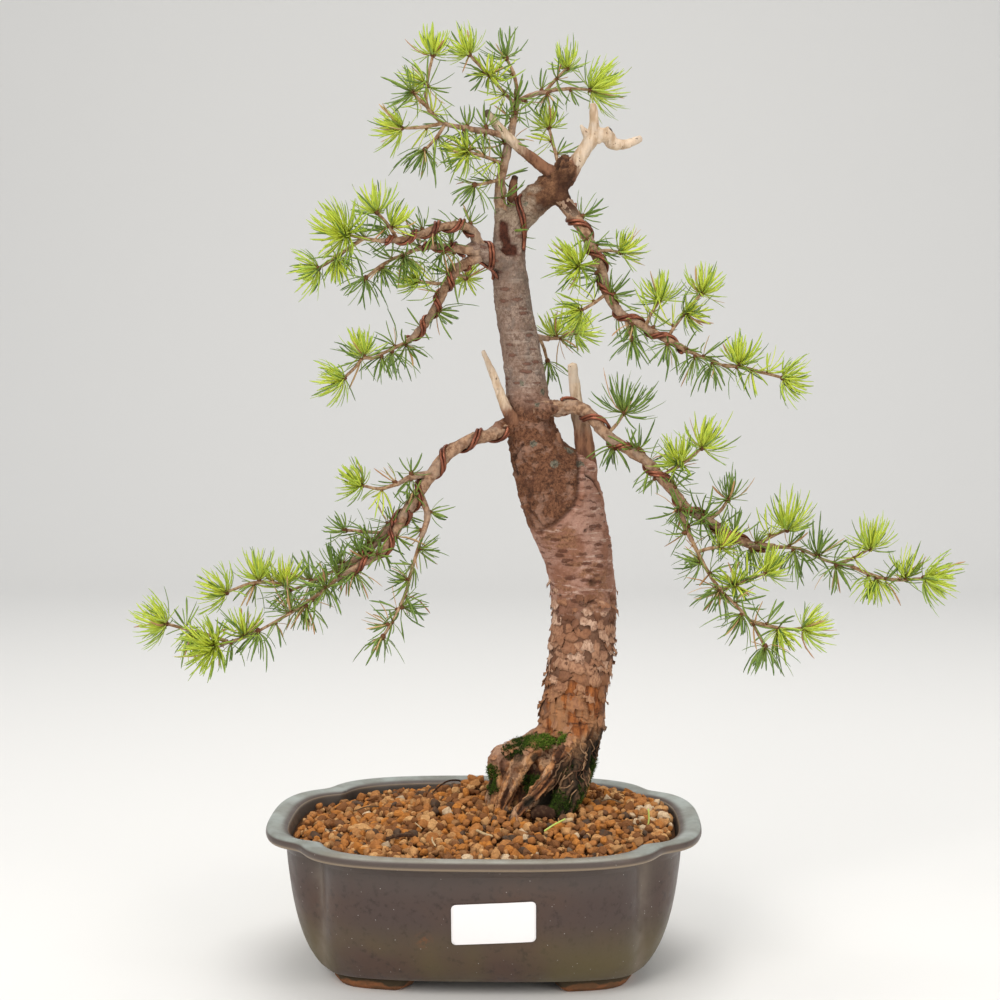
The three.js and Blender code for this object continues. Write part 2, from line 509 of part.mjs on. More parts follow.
const SPRAYS = [
  ['lower_left_upper_shoots', 'mature', [[-84, -22, 239], [-98, -24, 232], [-112, -26, 226]],
    [[0.1, 10, 20, 95, UP], [0.4, 10, 20, 95, DOWN], [0.6, 9, 20, 95, BACK],
      [1, 12, 20, 100, [-0.7, -0.3, -1]]]],
  ['lower_left_upper_tips', 'fresh', [[-112, -26, 226], [-118, -26, 230], [-133, -29, 231],
    [-148, -32, 226]],
    [[0.2, 12, 20, 95, UP], [0.6, 16, 21, 95, [-0.2, 0.2, 1]], [1, 18, 22, 110, [-1, -0.3, 0.5]]]],
  ['lower_left_lower_shoots', 'mature', [[-84, -36, 234], [-98, -38, 223], [-112, -40, 214],
    [-128, -42, 205]],
    [[0.15, 10, 20, 95, FRONT], [0.42, 10, 20, 95, DOWN], [0.62, 9, 20, 95, UP],
      [1, 12, 21, 100, [-0.4, 0, -1]]]],
  ['lower_left_end_star', 'fresh', [[-128, -42, 205], [-140, -44, 200], [-153, -46, 197]],
    [[0.35, 11, 20, 95, [0, -0.4, 1]], [1, 30, 25, 110, [-0.5, -0.9, 0.1]]]],
  ['lower_left_far_tips', 'fresh', [[-146, -45, 199], [-158, -40, 202], [-171, -38, 205],
    [-182, -38, 208]],
    [[0.6, 11, 22, 90, [0.1, 0.5, -1]], [1, 19, 24, 110, [-1, 0.1, 0.2]]]],
  ['lower_left_hanging_shoots', 'mature',
    [[-36, -19, 257], [-40, -27, 243], [-44, -35, 227], [-50, -41, 213], [-56, -46, 203]],
    [[0.12, 7, 15, 95, [1, -0.3, 0]], [0.4, 7, 16, 95, [-1, -0.3, 0]], [0.65, 8, 17, 95, [1, -0.2, 0.2]],
      [0.85, 7, 16, 95, [-1, 0, 0.2]], [1, 10, 19, 95, [-0.3, -0.2, -1]]]],
  ['lower_left_side_tuft', 'fresh', [[-50, -23, 288], [-60, -29, 286], [-69, -32, 288]],
    [[1, 19, 19, 100, [-0.7, -0.4, 0.6]]]],
  ['lower_left_small_star', 'mature', [[-58, -16, 259], [-70, -18, 260], [-80, -20, 261]],
    [[1, 10, 15, 110, [-0.8, -0.3, 0.6]]]],

  ['lower_right_first_tuft', 'mature', [[72, 0, 316], [78, 1, 322], [82, 2, 328]],
    [[1, 30, 25, 110, [0.2, -0.3, 1]]]],
  ['lower_right_fresh_tuft', 'fresh', [[103, -16, 292], [110, -19, 297], [118, -22, 302],
    [126, -21, 309]],
    [[0.5, 16, 21, 95, [-0.3, -0.6, 0.6]], [1, 19, 23, 110, [0.5, 0.1, 1]]]],
  ['lower_right_star', 'mature', [[131, -24, 268], [137, -25, 273], [141, -26, 279]],
    [[1, 17, 19, 110, [0, -0.4, 1]]]],
  ['lower_right_fan', 'fresh', [[158, -28, 254], [166, -31, 259], [174, -33, 263]],
    [[1, 19, 24, 85, [0.2, -0.3, 1]]]],
  ['lower_right_outer_shoots', 'mature', [[168, -30, 253], [182, -32, 252], [196, -36, 246],
    [210, -40, 243]],
    [[0.25, 11, 21, 95, DOWN], [0.55, 12, 20, 95, UP], [0.8, 10, 20, 95, [0, -0.4, -1]]]],
  ['lower_right_outer_tuft', 'fresh', [[204, -38, 244], [212, -40, 248], [220, -41, 253]],
    [[1, 19, 22, 100, [0.1, -0.1, 1]]]],
  ['lower_right_tip', 'fresh', [[210, -40, 243], [226, -44, 237], [240, -48, 237], [254, -51, 240]],
    [[0.3, 11, 20, 95, DOWN], [0.7, 11, 21, 95, UP], [1, 19, 24, 110, [1, -0.2, 0.1]]]],
  ['lower_right_drop_shoots', 'mature',
    [[120, -37, 257], [128, -46, 241], [135, -52, 231], [143, -58, 223], [152, -64, 213],
      [158, -69, 202]],
    [[0.15, 9, 19, 95, [-1, -0.2, 0.2]], [0.4, 11, 20, 95, [-0.6, -0.6, -0.6]],
      [0.68, 11, 20, 95, [-0.6, 0, -0.8]],
      [1, 16, 21, 110, [0, -0.3, -1]]]],
  ['lower_right_drop_inner_tuft', 'fresh', [[123, -41, 251], [129, -42, 253], [135, -43, 254]],
    [[1, 12, 18, 100, [0.6, -0.4, 0.8]]]],
  ['lower_right_drop_middle_tufts', 'fresh', [[135, -52, 231], [143, -50, 233], [152, -46, 236],
    [161, -42, 239]],
    [[0.35, 11, 18, 95, [-0.1, -0.9, 0.3]], [1, 19, 20, 105, [0.6, 0.2, 0.9]]]],
  ['lower_right_drop_tip', 'fresh', [[150, -63, 215], [161, -63, 212], [171, -61, 210], [180, -60, 210]],
    [[0.5, 11, 19, 95, [0.2, -0.7, -0.8]], [1, 19, 20, 110, [1, 0, 0.2]]]],

  ['upper_right_big_star', 'fresh', [[68, 1, 415], [62, -3, 415], [56, -7, 415]],
    [[1, 28, 24, 110, [-0.6, -0.8, 0.2]]]],
  ['upper_right_second_star', 'fresh', [[65, 3, 423], [72, 0, 424], [79, -2, 423]],
    [[1, 17, 19, 100, [0.8, -0.3, 0.5]]]],
  ['upper_right_low_tuft', 'fresh', [[72, -1, 399], [64, -6, 393], [57, -10, 389]],
    [[1, 17, 19, 100, [-0.8, -0.4, -0.4]]]],
  ['upper_right_hanging_shoot', 'mature', [[82, -6, 386], [84, -9, 379], [86, -11, 373]],
    [[1, 12, 20, 100, DOWN]]],
  ['upper_right_third_tuft', 'fresh', [[94, -10, 379], [97, -9, 386], [102, -8, 394]],
    [[1, 18, 20, 100, [0, -0.3, 1]]]],
  ['upper_right_fourth_tuft', 'fresh', [[106, -14, 372], [112, -13, 381], [119, -12, 390],
    [126, -11, 398]],
    [[0.55, 10, 18, 95, [0.6, -0.8, 0]], [1, 19, 20, 110, [0.3, 0, 1]]]],
  ['upper_right_outer_shoots', 'mature', [[119, -18, 365], [128, -20, 361], [138, -23, 357]],
    [[0.2, 11, 19, 95, DOWN], [0.7, 12, 20, 95, [0, -0.5, -1]]]],
  ['upper_right_tip', 'fresh', [[138, -23, 357], [148, -26, 356], [160, -28, 353], [171, -30, 350]],
    [[0.3, 16, 20, 95, UP], [1, 19, 20, 110, [1, -0.2, -0.1]]]],

  ['back_tuft', 'fresh', [[38, 52, 373], [46, 59, 374], [54, 67, 377]],
    [[0.3, 12, 20, 95, [-0.2, 0.2, 1]], [1, 18, 21, 110, [0.6, 0.6, 0.3]]]],
  ['back_hanging_shoot', 'mature', [[32, 47, 374], [35, 51, 367], [37, 53, 360]],
    [[1, 12, 20, 95, [0.1, 0.1, -1]]]],

  ['upper_left_big_star', 'fresh', [[-57, -43, 427], [-66, -48, 428], [-75, -52, 430]],
    [[1, 34, 25, 115, [-0.6, -0.8, 0.2]]]],
  ['upper_left_side_tufts', 'fresh', [[-66, -48, 428], [-76, -45, 422], [-85, -43, 416], [-92, -42, 412]],
    [[0.55, 11, 19, 90, [0.3, -0.6, -1]], [1, 18, 20, 105, [-1, 0.1, -0.3]]]],
  ['upper_left_top_tufts', 'fresh', [[-48, -35, 428], [-53, -36, 436], [-59, -37, 443]],
    [[0.4, 11, 18, 90, [0.8, -0.2, 0.8]], [1, 17, 20, 100, [-0.4, 0.4, 1]]]],
  ['upper_left_inner_shoots', 'mature', [[-38, -17, 424], [-47, -22, 420], [-58, -28, 414],
    [-66, -32, 407]],
    [[0.3, 11, 19, 95, [0.2, -0.6, -0.7]], [0.65, 10, 19, 95, [0.2, 0.7, -0.7]],
      [1, 12, 20, 100, [-0.3, -0.1, -1]]]],

  ['middle_left_left_tuft', 'fresh', [[-22, 6, 405], [-30, 0, 405], [-38, -6, 406]],
    [[1, 16, 18, 100, [-0.8, -0.5, 0.4]]]],
  ['middle_left_right_tuft', 'fresh', [[-18, 5, 411], [-14, 12, 410], [-12, 19, 409]],
    [[1, 12, 17, 100, [0.1, 0.8, 0.2]]]],
  ['middle_left_shoots', 'mature', [[-45, 2, 371], [-55, -4, 366], [-65, -10, 361]],
    [[0.1, 11, 19, 95, [0.2, -0.8, -0.6]], [0.45, 10, 19, 95, [0, 0.6, -1]], [0.75, 9, 18, 95, DOWN]]],
  ['middle_left_tip_tufts', 'fresh', [[-65, -10, 361], [-70, -14, 361], [-75, -19, 355], [-80, -24, 350]],
    [[0.3, 16, 20, 95, [-0.3, 0.2, 1]], [1, 18, 21, 105, [-0.9, -0.3, -0.2]]]],

  ['apex_crown_shoot', 'mature', [[19, 14, 519], [17, 12, 528], [13, 10, 536]],
    [[1, 16, 18, 105, [-0.2, 0.2, 1]]]],
  ['apex_crown_left_tuft', 'fresh', [[18, 12, 510], [9, 6, 519], [0, 0, 528], [-8, -6, 536]],
    [[0.55, 10, 18, 90, [0, -0.9, 0.2]], [1, 18, 19, 105, [-0.6, -0.2, 0.9]]]],
  ['apex_right_inner_tuft', 'fresh', [[36, 19, 519], [42, 20, 526], [48, 22, 532]],
    [[1, 12, 18, 95, [0, -0.1, 1]]]],
  ['apex_right_outer_tuft', 'fresh', [[42, 21, 520], [52, 25, 521], [62, 29, 521]],
    [[1, 32, 26, 105, [1, 0.2, 0.4]]]],
  ['apex_left_crown_tuft', 'fresh', [[-24, -13, 496], [-32, -17, 505], [-32, -17, 519], [-29, -15, 534]],
    [[0.65, 10, 18, 90, [-1, 0, 0.2]], [1, 17, 18, 105, [0, 0, 1]]]],
  ['apex_left_dark_shoot', 'mature', [[-32, -17, 505], [-36, -23, 508], [-39, -28, 511]],
    [[1, 16, 19, 110, [-0.5, -0.8, 0]]]],
  ['apex_left_low_tuft', 'fresh', [[-24, -13, 496], [-36, -19, 493], [-46, -25, 492]],
    [[1, 19, 21, 105, [-1, -0.3, 0.1]]]],
  ['apex_left_low_shoot', 'mature', [[-22, -12, 496], [-27, -14, 488], [-33, -17, 481]],
    [[1, 16, 20, 100, [-0.4, -0.2, -1]]]],
  ['apex_centre_tuft', 'fresh', [[12, 12, 475], [1, -3, 478], [-9, -12, 480]],
    [[1, 19, 21, 110, [-0.6, -0.8, -0.2]]]],
  ['apex_centre_shoot', 'mature', [[10, 13, 467], [3, 4, 464], [-5, 0, 462]],
    [[1, 12, 19, 100, [-0.5, 0.3, -0.8]]]],
  ['apex_right_small_tuft', 'fresh', [[44, 21, 474], [41, 24, 486], [38, 28, 498]],
    [[1, 17, 18, 100, [-0.1, 0.2, 1]]]],
];

// Everything that a twig or a needle has to miss: straight stretches with a radius at
// each end, the name of the node and, for needles, the head that they grow from.
const obstacles = [];

function addStretch(start, end, startRadius, endRadius, owner, head = null) {
  const middle = start.clone().lerp(end, 0.5);
  const reach = start.distanceTo(end) / 2 + Math.max(startRadius, endRadius);
  obstacles.push({ start, end, startRadius, endRadius, owner, head, middle, reach });
}

function addLimb(stations, owner, stepsPerSpan = 3) {
  const frames = layPath(stations, stepsPerSpan * (stations.length - 1));
  for (let k = 1; k < frames.length; k += 1) {
    const [from, to] = [frames[k - 1], frames[k]];
    addStretch(from.centre, to.centre, from.radius, to.radius, owner);
  }
}

// The gap between two tapered stretches, by the nearest points of their centre lines.
function gapBetween(a, b) {
  const u = a.end.clone().sub(a.start);
  const v = b.end.clone().sub(b.start);
  const w = a.start.clone().sub(b.start);
  const [uu, uv, vv, uw, vw] = [u.dot(u), u.dot(v), v.dot(v), u.dot(w), v.dot(w)];
  const cross = uu * vv - uv * uv;
  const clamp = THREE.MathUtils.clamp;
  let s = cross > 1e-9 ? clamp((uv * vw - vv * uw) / cross, 0, 1) : 0;
  const t = clamp((uv * s + vw) / vv, 0, 1);
  s = clamp((uv * t - uw) / uu, 0, 1);
  const between = w.addScaledVector(u, s).addScaledVector(v, -t).length();
  return between - mix(a.startRadius, a.endRadius, s) - mix(b.startRadius, b.endRadius, t);
}

// A twig starts just clear of the wood: its first stretch is cut back until the rest
// of it is clear, and its root narrows to a neck.
const NECK_RADIUS = 0.6;
const NECK_LENGTH = 3;
const NECK_END = 0.9;
const TWIG_SAMPLES = 60;
const TWIG_ALLOWANCE = 0.05;
const SPECK = 0.01;
const NEAR_MISS = 3;

function seatTwig(points) {
  const curve = new THREE.CatmullRomCurve3(points.map(vector), false, 'centripetal');
  const length = curve.getLength();
  const radiusAt = (distance) => mix(NECK_RADIUS, TWIG_RADIUS, Math.min(1, distance / NECK_LENGTH));
  const isClear = (t, start) => {
    const point = curve.getPointAt(t);
    const radius = radiusAt((t - start) * length);
    const end = point.clone().addScalar(SPECK);
    const probe = { start: point, end, startRadius: radius, endRadius: radius };
    return obstacles.every((other) => other.middle.distanceTo(point) > other.reach + NEAR_MISS
      || gapBetween(probe, other) >= SEAT_GAP + TWIG_ALLOWANCE);
  };
  for (let first = 0; first < TWIG_SAMPLES; first += 1) {
    const start = first / TWIG_SAMPLES;
    let clear = true;
    for (let next = first; clear && next <= TWIG_SAMPLES; next += 1) {
      clear = isClear(next / TWIG_SAMPLES, start);
    }
    if (clear) return { curve, start, length };
  }
  throw new Error('a twig has no clear stretch');
}

function twigStations({ curve, start, length }) {
  const stops = [start, Math.min(NECK_END, start + NECK_LENGTH / length)];
  const spans = Math.max(1, Math.round((length * (1 - stops[1])) / TWIG_SPAN));
  for (let k = 1; k <= spans; k += 1) stops.push(mix(stops[1], 1, k / spans));
  return stops.map((t, k) => [...curve.getPointAt(t).toArray(), k === 0 ? NECK_RADIUS : TWIG_RADIUS]);
}

// The neck runs on to a fine root, which ends on the bark or the wire that it meets.
const TWIG_ROOT_RADIUS = 0.25;
const SHALLOWEST_ENTRY = 0.25;

function twigRoot({ curve, start }, pieces) {
  const from = curve.getPointAt(start);
  const way = curve.getPointAt(0).sub(from);
  const reach = way.length();
  const [hit] = new THREE.Raycaster(from, way.normalize(), 0, reach).intersectObjects(pieces);
  if (!hit) return [];
  const entry = Math.max(SHALLOWEST_ENTRY, Math.abs(hit.face.normal.dot(way)));
  const slip = TWIG_ROOT_RADIUS * Math.sqrt(1 - Math.min(1, entry) ** 2);
  const travel = hit.distance - (SEAT_GAP + slip) / entry;
  if (travel < TWIG_ROOT_RADIUS) return [];
  return [[...from.addScaledVector(way, travel).toArray(), TWIG_ROOT_RADIUS]];
}

// A head is one closed body: a small faceted bud with faces drawn out into three-sided
// needles. A needle's tip stays over its own face, so no two of a head cross.
const LARGEST_BUD = 2.1;
const BUDS = [
  { mostNeedles: 12, radius: 1.45, shape: (radius) => new THREE.IcosahedronGeometry(radius, 0) },
  { mostNeedles: 19, radius: 1.7, shape: (radius) => new THREE.OctahedronGeometry(radius, 1) },
  { mostNeedles: 80, radius: LARGEST_BUD, shape: (radius) => new THREE.IcosahedronGeometry(radius, 1) },
];
const NEEDLE_ROOT_RADIUS = 0.75;
const TRIES = 12;
const SHORTEST_SHARE = 0.6;
const LEAST_LENGTH = 0.86;
const LENGTH_SPREAD = 0.28;
const CORNER_WEIGHT = 0.5;

function headGeometry(middle, axis, [, count, length, spread], owner, head, random) {
  const bud = BUDS.find(({ mostNeedles }) => count <= mostNeedles);
  const shell = bud.shape(bud.radius);
  shell.deleteAttribute('normal');
  shell.deleteAttribute('uv');
  const geometry = mergeVertices(shell, SPECK);
  const turn = new THREE.Quaternion().setFromAxisAngle(new THREE.Vector3(0, 0, 1), 2 * Math.PI * random());
  turn.premultiply(new THREE.Quaternion().setFromUnitVectors(new THREE.Vector3(0, 0, 1), axis));
  geometry.applyQuaternion(turn);
  const points = Array.from({ length: geometry.attributes.position.count }, (_, k) => (
    new THREE.Vector3().fromBufferAttribute(geometry.attributes.position, k)));
  const index = Array.from(geometry.index.array);
  const faces = Array.from({ length: index.length / 3 }, (_, k) => index.slice(3 * k, 3 * k + 3));
  const leastCosine = Math.cos(THREE.MathUtils.degToRad(spread));
  const facing = faces.filter((face) => {
    const out = face.reduce((sum, k) => sum.add(points[k]), new THREE.Vector3()).normalize();
    return out.dot(axis) > leastCosine;
  });
  const share = Math.min(1, count / facing.length);
  const bearing = new Set(facing.filter((_, k) => Math.floor((k + 1) * share) > Math.floor(k * share)));
  const positions = points.map((p) => p.clone().add(middle));
  const triangles = [];
  const grown = [];
  faces.forEach((face) => {
    const root = face.reduce((sum, k) => sum.add(positions[k]), new THREE.Vector3()).divideScalar(3);
    let tip = null;
    for (let attempt = 0; bearing.has(face) && !tip && attempt < TRIES; attempt += 1) {
      const weights = face.map(() => CORNER_WEIGHT + random());
      const out = new THREE.Vector3();
      face.forEach((k, corner) => out.addScaledVector(points[k], weights[corner]));
      const shrink = mix(1, SHORTEST_SHARE, attempt / TRIES);
      const reach = length * (LEAST_LENGTH + LENGTH_SPREAD * random()) * shrink;
      const end = middle.clone().addScaledVector(out.normalize(), reach);
      const halfway = root.clone().lerp(end, 0.5);
      const own = { start: root, end, startRadius: NEEDLE_ROOT_RADIUS, endRadius: 0 };
      const clear = obstacles.every((other) => (
        (other.owner === owner && other.head === null)
        || other.middle.distanceTo(halfway) > other.reach + reach / 2 + 1
        || gapBetween(own, other) >= (other.owner === owner ? 0 : SEAT_GAP)));
      if (clear) tip = end;
    }
    if (tip) {
      const apex = positions.push(tip) - 1;
      face.forEach((k, corner) => triangles.push(k, face[(corner + 1) % 3], apex));
      grown.push([root, tip]);
    } else triangles.push(...face);
  });
  grown.forEach(([root, tip]) => addStretch(root, tip, NEEDLE_ROOT_RADIUS, 0, owner, head));
  return meshFrom(positions.flatMap((p) => p.toArray()), triangles);
}

// Where the bud of a head lies: past the twig's end, or against its side.
function headMiddle({ curve, start }, [fraction, , , , direction]) {
  const base = curve.getPointAt(mix(start, 1, fraction));
  if (fraction === 1) return base.addScaledVector(curve.getTangentAt(1), TWIG_RADIUS);
  return base.addScaledVector(vector(direction).normalize(), SPUR_LENGTH);
}

function growHeads(spray, random) {
  return spray.heads.map((head, index) => {
    const axis = vector(head[4]).normalize();
    const middle = headMiddle(spray.seat, head);
    return solidOf(headGeometry(middle, axis, head, spray.name, `${spray.name}_${index}`, random));
  });
}

// The finished pieces, each with its own colour.
const paint = (color, roughness, metalness = 0) => (
  new THREE.MeshStandardMaterial({ color, roughness, metalness }));
const materials = {
  pot: paint('#4a4346', 0.45),
  soil: paint('#a8683a', 0.95),
  bark: paint('#8f7768', 0.9),
  wire: paint('#7a3f2c', 0.45, 0.8),
  label: paint('#f2f0ee', 0.7),
  drainMesh: paint('#2b2b2b', 0.8),
  mature: paint('#49703c', 0.6),
  fresh: paint('#b0cf4a', 0.6),
};

const NEEDLE_SEED = 71;
const bonsai = new THREE.Group();

function addPiece(name, geometry, material) {
  geometry.computeVertexNormals();
  const mesh = new THREE.Mesh(geometry, material);
  mesh.name = name;
  bonsai.add(mesh);
}

addPiece('pot', geometryOf(potSolid()), materials.pot);
addPiece('drain_mesh_left', geometryOf(drainMeshSolid(-DRAIN_X)), materials.drainMesh);
addPiece('drain_mesh_right', geometryOf(drainMeshSolid(DRAIN_X)), materials.drainMesh);
addPiece('soil', geometryOf(soilSolid()), materials.soil);
addPiece('trunk', geometryOf(trunkSolid()), materials.bark);
addPiece('label', labelGeometry(), materials.label);

addLimb(TRUNK, 'trunk');
[...DEADWOOD, ...Object.values(BRANCHES)].forEach((limb) => addLimb(limb, 'trunk'));
WIRES.forEach((wire) => {
  const points = wirePoints(wire);
  addLimb(points, wire.name, 1);
  addPiece(wire.name, geometryOf(wireSolid(points)), materials.wire);
});

const sprays = SPRAYS.map(([name, age, twig, heads]) => {
  const seat = seatTwig(twig);
  const stations = [...twigRoot(seat, bonsai.children), ...twigStations(seat)];
  addLimb(stations, name, 1);
  heads.forEach((head) => {
    const middle = headMiddle(seat, head);
    addStretch(middle, middle.clone().addScalar(SPECK), LARGEST_BUD, LARGEST_BUD, name);
  });
  return { name, age, heads, seat, stations };
});
const random = seededRandom(NEEDLE_SEED);
sprays.forEach((spray) => {
  const twig = solidOf(limbGeometry(spray.stations, 4, spray.stations.length - 1));
  addPiece(spray.name, geometryOf(fuse([twig, ...growHeads(spray, random)])), materials[spray.age]);
});

// The origin goes under the middle of the tree's box, at table height.
const box = new THREE.Box3().setFromObject(bonsai);
bonsai.position.set(-(box.min.x + box.max.x) / 2, -(box.min.y + box.max.y) / 2, -box.min.z);
bonsai.updateMatrixWorld(true);

export default bonsai;
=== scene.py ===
# A european larch bonsai in its four-lobed glazed pot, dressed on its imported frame.
# The tree's own points are in millimetres from the middle of the pot, at table height,
# and spot() turns them into metres in the frame.

import itertools
import math

import bpy
import numpy as np
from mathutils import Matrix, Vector, noise
from mathutils.bvhtree import BVHTree


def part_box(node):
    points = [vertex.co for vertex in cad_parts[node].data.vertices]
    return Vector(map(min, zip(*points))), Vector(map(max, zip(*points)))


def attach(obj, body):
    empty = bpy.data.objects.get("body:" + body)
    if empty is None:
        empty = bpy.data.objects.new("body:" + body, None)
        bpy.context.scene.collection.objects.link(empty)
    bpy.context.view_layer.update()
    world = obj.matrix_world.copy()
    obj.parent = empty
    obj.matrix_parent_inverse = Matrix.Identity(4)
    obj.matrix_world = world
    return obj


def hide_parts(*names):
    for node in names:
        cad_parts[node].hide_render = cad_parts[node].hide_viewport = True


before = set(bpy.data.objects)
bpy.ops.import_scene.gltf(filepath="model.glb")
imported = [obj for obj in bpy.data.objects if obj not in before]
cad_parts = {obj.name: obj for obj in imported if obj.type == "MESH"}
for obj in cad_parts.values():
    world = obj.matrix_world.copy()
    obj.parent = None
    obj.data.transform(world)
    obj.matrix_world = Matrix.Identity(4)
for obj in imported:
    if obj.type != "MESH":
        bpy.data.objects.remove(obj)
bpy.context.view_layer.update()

# Camera: a long lens a metre in front of the tree, a little above its middle and
# pitched down, as the tree was photographed.
MM = 0.001
pot_low, pot_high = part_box("pot")
POT_X = (pot_low.x + pot_high.x) / 2
POT_Y = (pot_low.y + pot_high.y) / 2


def spot(x, y, z):
    """A place in the frame, in metres, from one in mm round the pot's middle."""
    return Vector((POT_X + x * MM, POT_Y + y * MM, z * MM))


camera = bpy.data.objects.new("camera", bpy.data.cameras.new("camera"))
camera.data.sensor_width = 36
camera.data.lens = 64.8
camera.location = spot(37.1, -1063.4, 361)
camera.rotation_euler = (math.radians(85.5), 0, math.radians(1.5))
bpy.context.scene.collection.objects.link(camera)
bpy.context.scene.camera = camera

# Studio: a pale floor that curves up into a pale wall, a large soft light in front at
# the upper left, a weaker one at the right, one from above, and a pale sky.
FLOOR_FRONT, FLOOR_DEPTH = -3.5, 2.6
WALL_HEIGHT = 3.0
SWEEP_RADIUS = 0.9
SWEEP_STEPS = 24
STUDIO_HALF_WIDTH = 4.0
LIGHT_TARGET = Vector((0, 0, 0.25))


def studio_profile():
    """(y, z) down the middle of the floor, round the sweep and up the wall."""
    turns = np.linspace(0, math.pi / 2, SWEEP_STEPS + 1)[1:]
    bend = FLOOR_DEPTH - SWEEP_RADIUS
    sweep = [(bend + SWEEP_RADIUS * math.sin(turn), SWEEP_RADIUS * (1 - math.cos(turn))) for turn in turns]
    return [(FLOOR_FRONT, 0.0), (bend, 0.0), *sweep, (FLOOR_DEPTH, WALL_HEIGHT)]


profile = studio_profile()
backdrop_mesh = bpy.data.meshes.new("studio_sweep")
backdrop_mesh.from_pydata(
    [(side * STUDIO_HALF_WIDTH, y, z) for y, z in profile for side in (-1, 1)],
    [],
    [(2 * k, 2 * k + 1, 2 * k + 3, 2 * k + 2) for k in range(len(profile) - 1)],
)
backdrop_mesh.polygons.foreach_set("use_smooth", [True] * len(backdrop_mesh.polygons))
backdrop = bpy.data.objects.new("studio_sweep", backdrop_mesh)
bpy.context.scene.collection.objects.link(backdrop)
studio_paper = bpy.data.materials.new("studio_paper")
studio_paper.use_nodes = True
paper_look = {"Base Color": (0.76, 0.76, 0.75, 1), "Roughness": 0.9, "Specular IOR Level": 0.1}
for socket, value in paper_look.items():
    studio_paper.node_tree.nodes["Principled BSDF"].inputs[socket].default_value = value
backdrop.data.materials.append(studio_paper)


def add_softbox(name, location, size, power, colour=(1, 1, 1)):
    light = bpy.data.objects.new(name, bpy.data.lights.new(name, "AREA"))
    light.data.shape = "SQUARE"
    light.data.size = size
    light.data.energy = power
    light.data.color = colour
    light.location = location
    aim = LIGHT_TARGET - light.location
    light.rotation_euler = aim.to_track_quat("-Z", "Y").to_euler()
    bpy.context.scene.collection.objects.link(light)


add_softbox("key_light", Vector((-1.1, -1.7, 1.5)), 1.4, 36, (1.0, 0.955, 0.90))
add_softbox("fill_light", Vector((1.6, -1.4, 0.9)), 1.5, 20, (1.0, 0.955, 0.90))
add_softbox("top_light", Vector((0.1, 0.3, 2.2)), 1.6, 30, (1.0, 0.97, 0.93))

world = bpy.data.worlds.new("studio_air")
world.use_nodes = True
world.node_tree.nodes["Background"].inputs["Color"].default_value = (0.95, 0.97, 1.0, 1)
world.node_tree.nodes["Background"].inputs["Strength"].default_value = 0.45
bpy.context.scene.world = world
bpy.context.scene.view_settings.view_transform = "Standard"

# Pot: a stoneware body thrown and pressed into four bowed lobes, with a flat turned-out
# lip and a dark satin glaze. Where the lobes meet, the wall has a soft crease, with a painted highlight
# down it.
POT_HALF_WIDTH = 129
POT_HALF_DEPTH = 103
NOTCH_X = [(0, 102), (10, 90.5), (35, 88), (52, 72)]
NOTCH_Y = 63
NOTCH_Y_TAPER = 0.4
LOBE_POWER = 3
LOBE_ROUNDING = 0.45
POT_SIDES = 288
OUTLINE_STEPS = 120
LIP_SOFTNESS = 7.5
WALL_SOFTNESS = 4.5
# The wall from the foot up, over the lip and down inside, as (distance in from the lip's edge, height).
POT_WALL = [
    (43, 7.0), (40, 7.4), (35.4, 8.4), (31.6, 10), (27.2, 14.6), (23.2, 21), (19.9, 29), (17.3, 38),
    (15.2, 48), (13.7, 58), (12.6, 67), (12.0, 73.5), (11.8, 75.4), (11.2, 76.2), (10.2, 77.4), (9.0, 79.0),
    (7.4, 80.3), (5.6, 80.9), (3.2, 81.2), (1.0, 81.9), (0.1, 83.4), (0.0, 85.0), (0.5, 86.6), (1.7, 87.5),
    (3.4, 87.9), (7.5, 87.2), (10.8, 86.3), (12.6, 85.6), (13.5, 84.2), (14.1, 82), (15.4, 76), (20, 58),
    (34, 28), (46, 14),
]
WALL_SPAN_STEPS = 3
INNER_RIM = (12.6, 85.6)
LIP_FROM, INNER_LIP_FROM, LIP_FADE = 86.2, 85, 0.8
WORN_EDGE_HEIGHT, WORN_RIM_OFFSET = 82.6, 12.9
# CREASE_TOP and CREASE_WIDTH set how high and how wide the painted highlight runs down the creases.
CREASE_TOP, CREASE_WIDTH = 79, 6.5
LIP_FRONT_Y = -82
GLAZED_DOWN_TO = 85.2
RUST_SPOT = (-31, -84, 38)
DRAIN_X = 42
DRAIN_RADIUS = 10


def bow(u):
    """How far a lobe bows out at u, from -1 at one crease to 1 at the next."""
    return (1 - np.abs(u) ** LOBE_POWER) ** LOBE_ROUNDING


def lobe(offset):
    """Where the lobes meet, and how far each one bows out from there, at an offset from the lip's edge."""
    notch_x = np.interp(offset, *zip(*NOTCH_X))
    notch_y = NOTCH_Y - NOTCH_Y_TAPER * offset
    return notch_x, notch_y, POT_HALF_WIDTH - offset - notch_x, POT_HALF_DEPTH - offset - notch_y


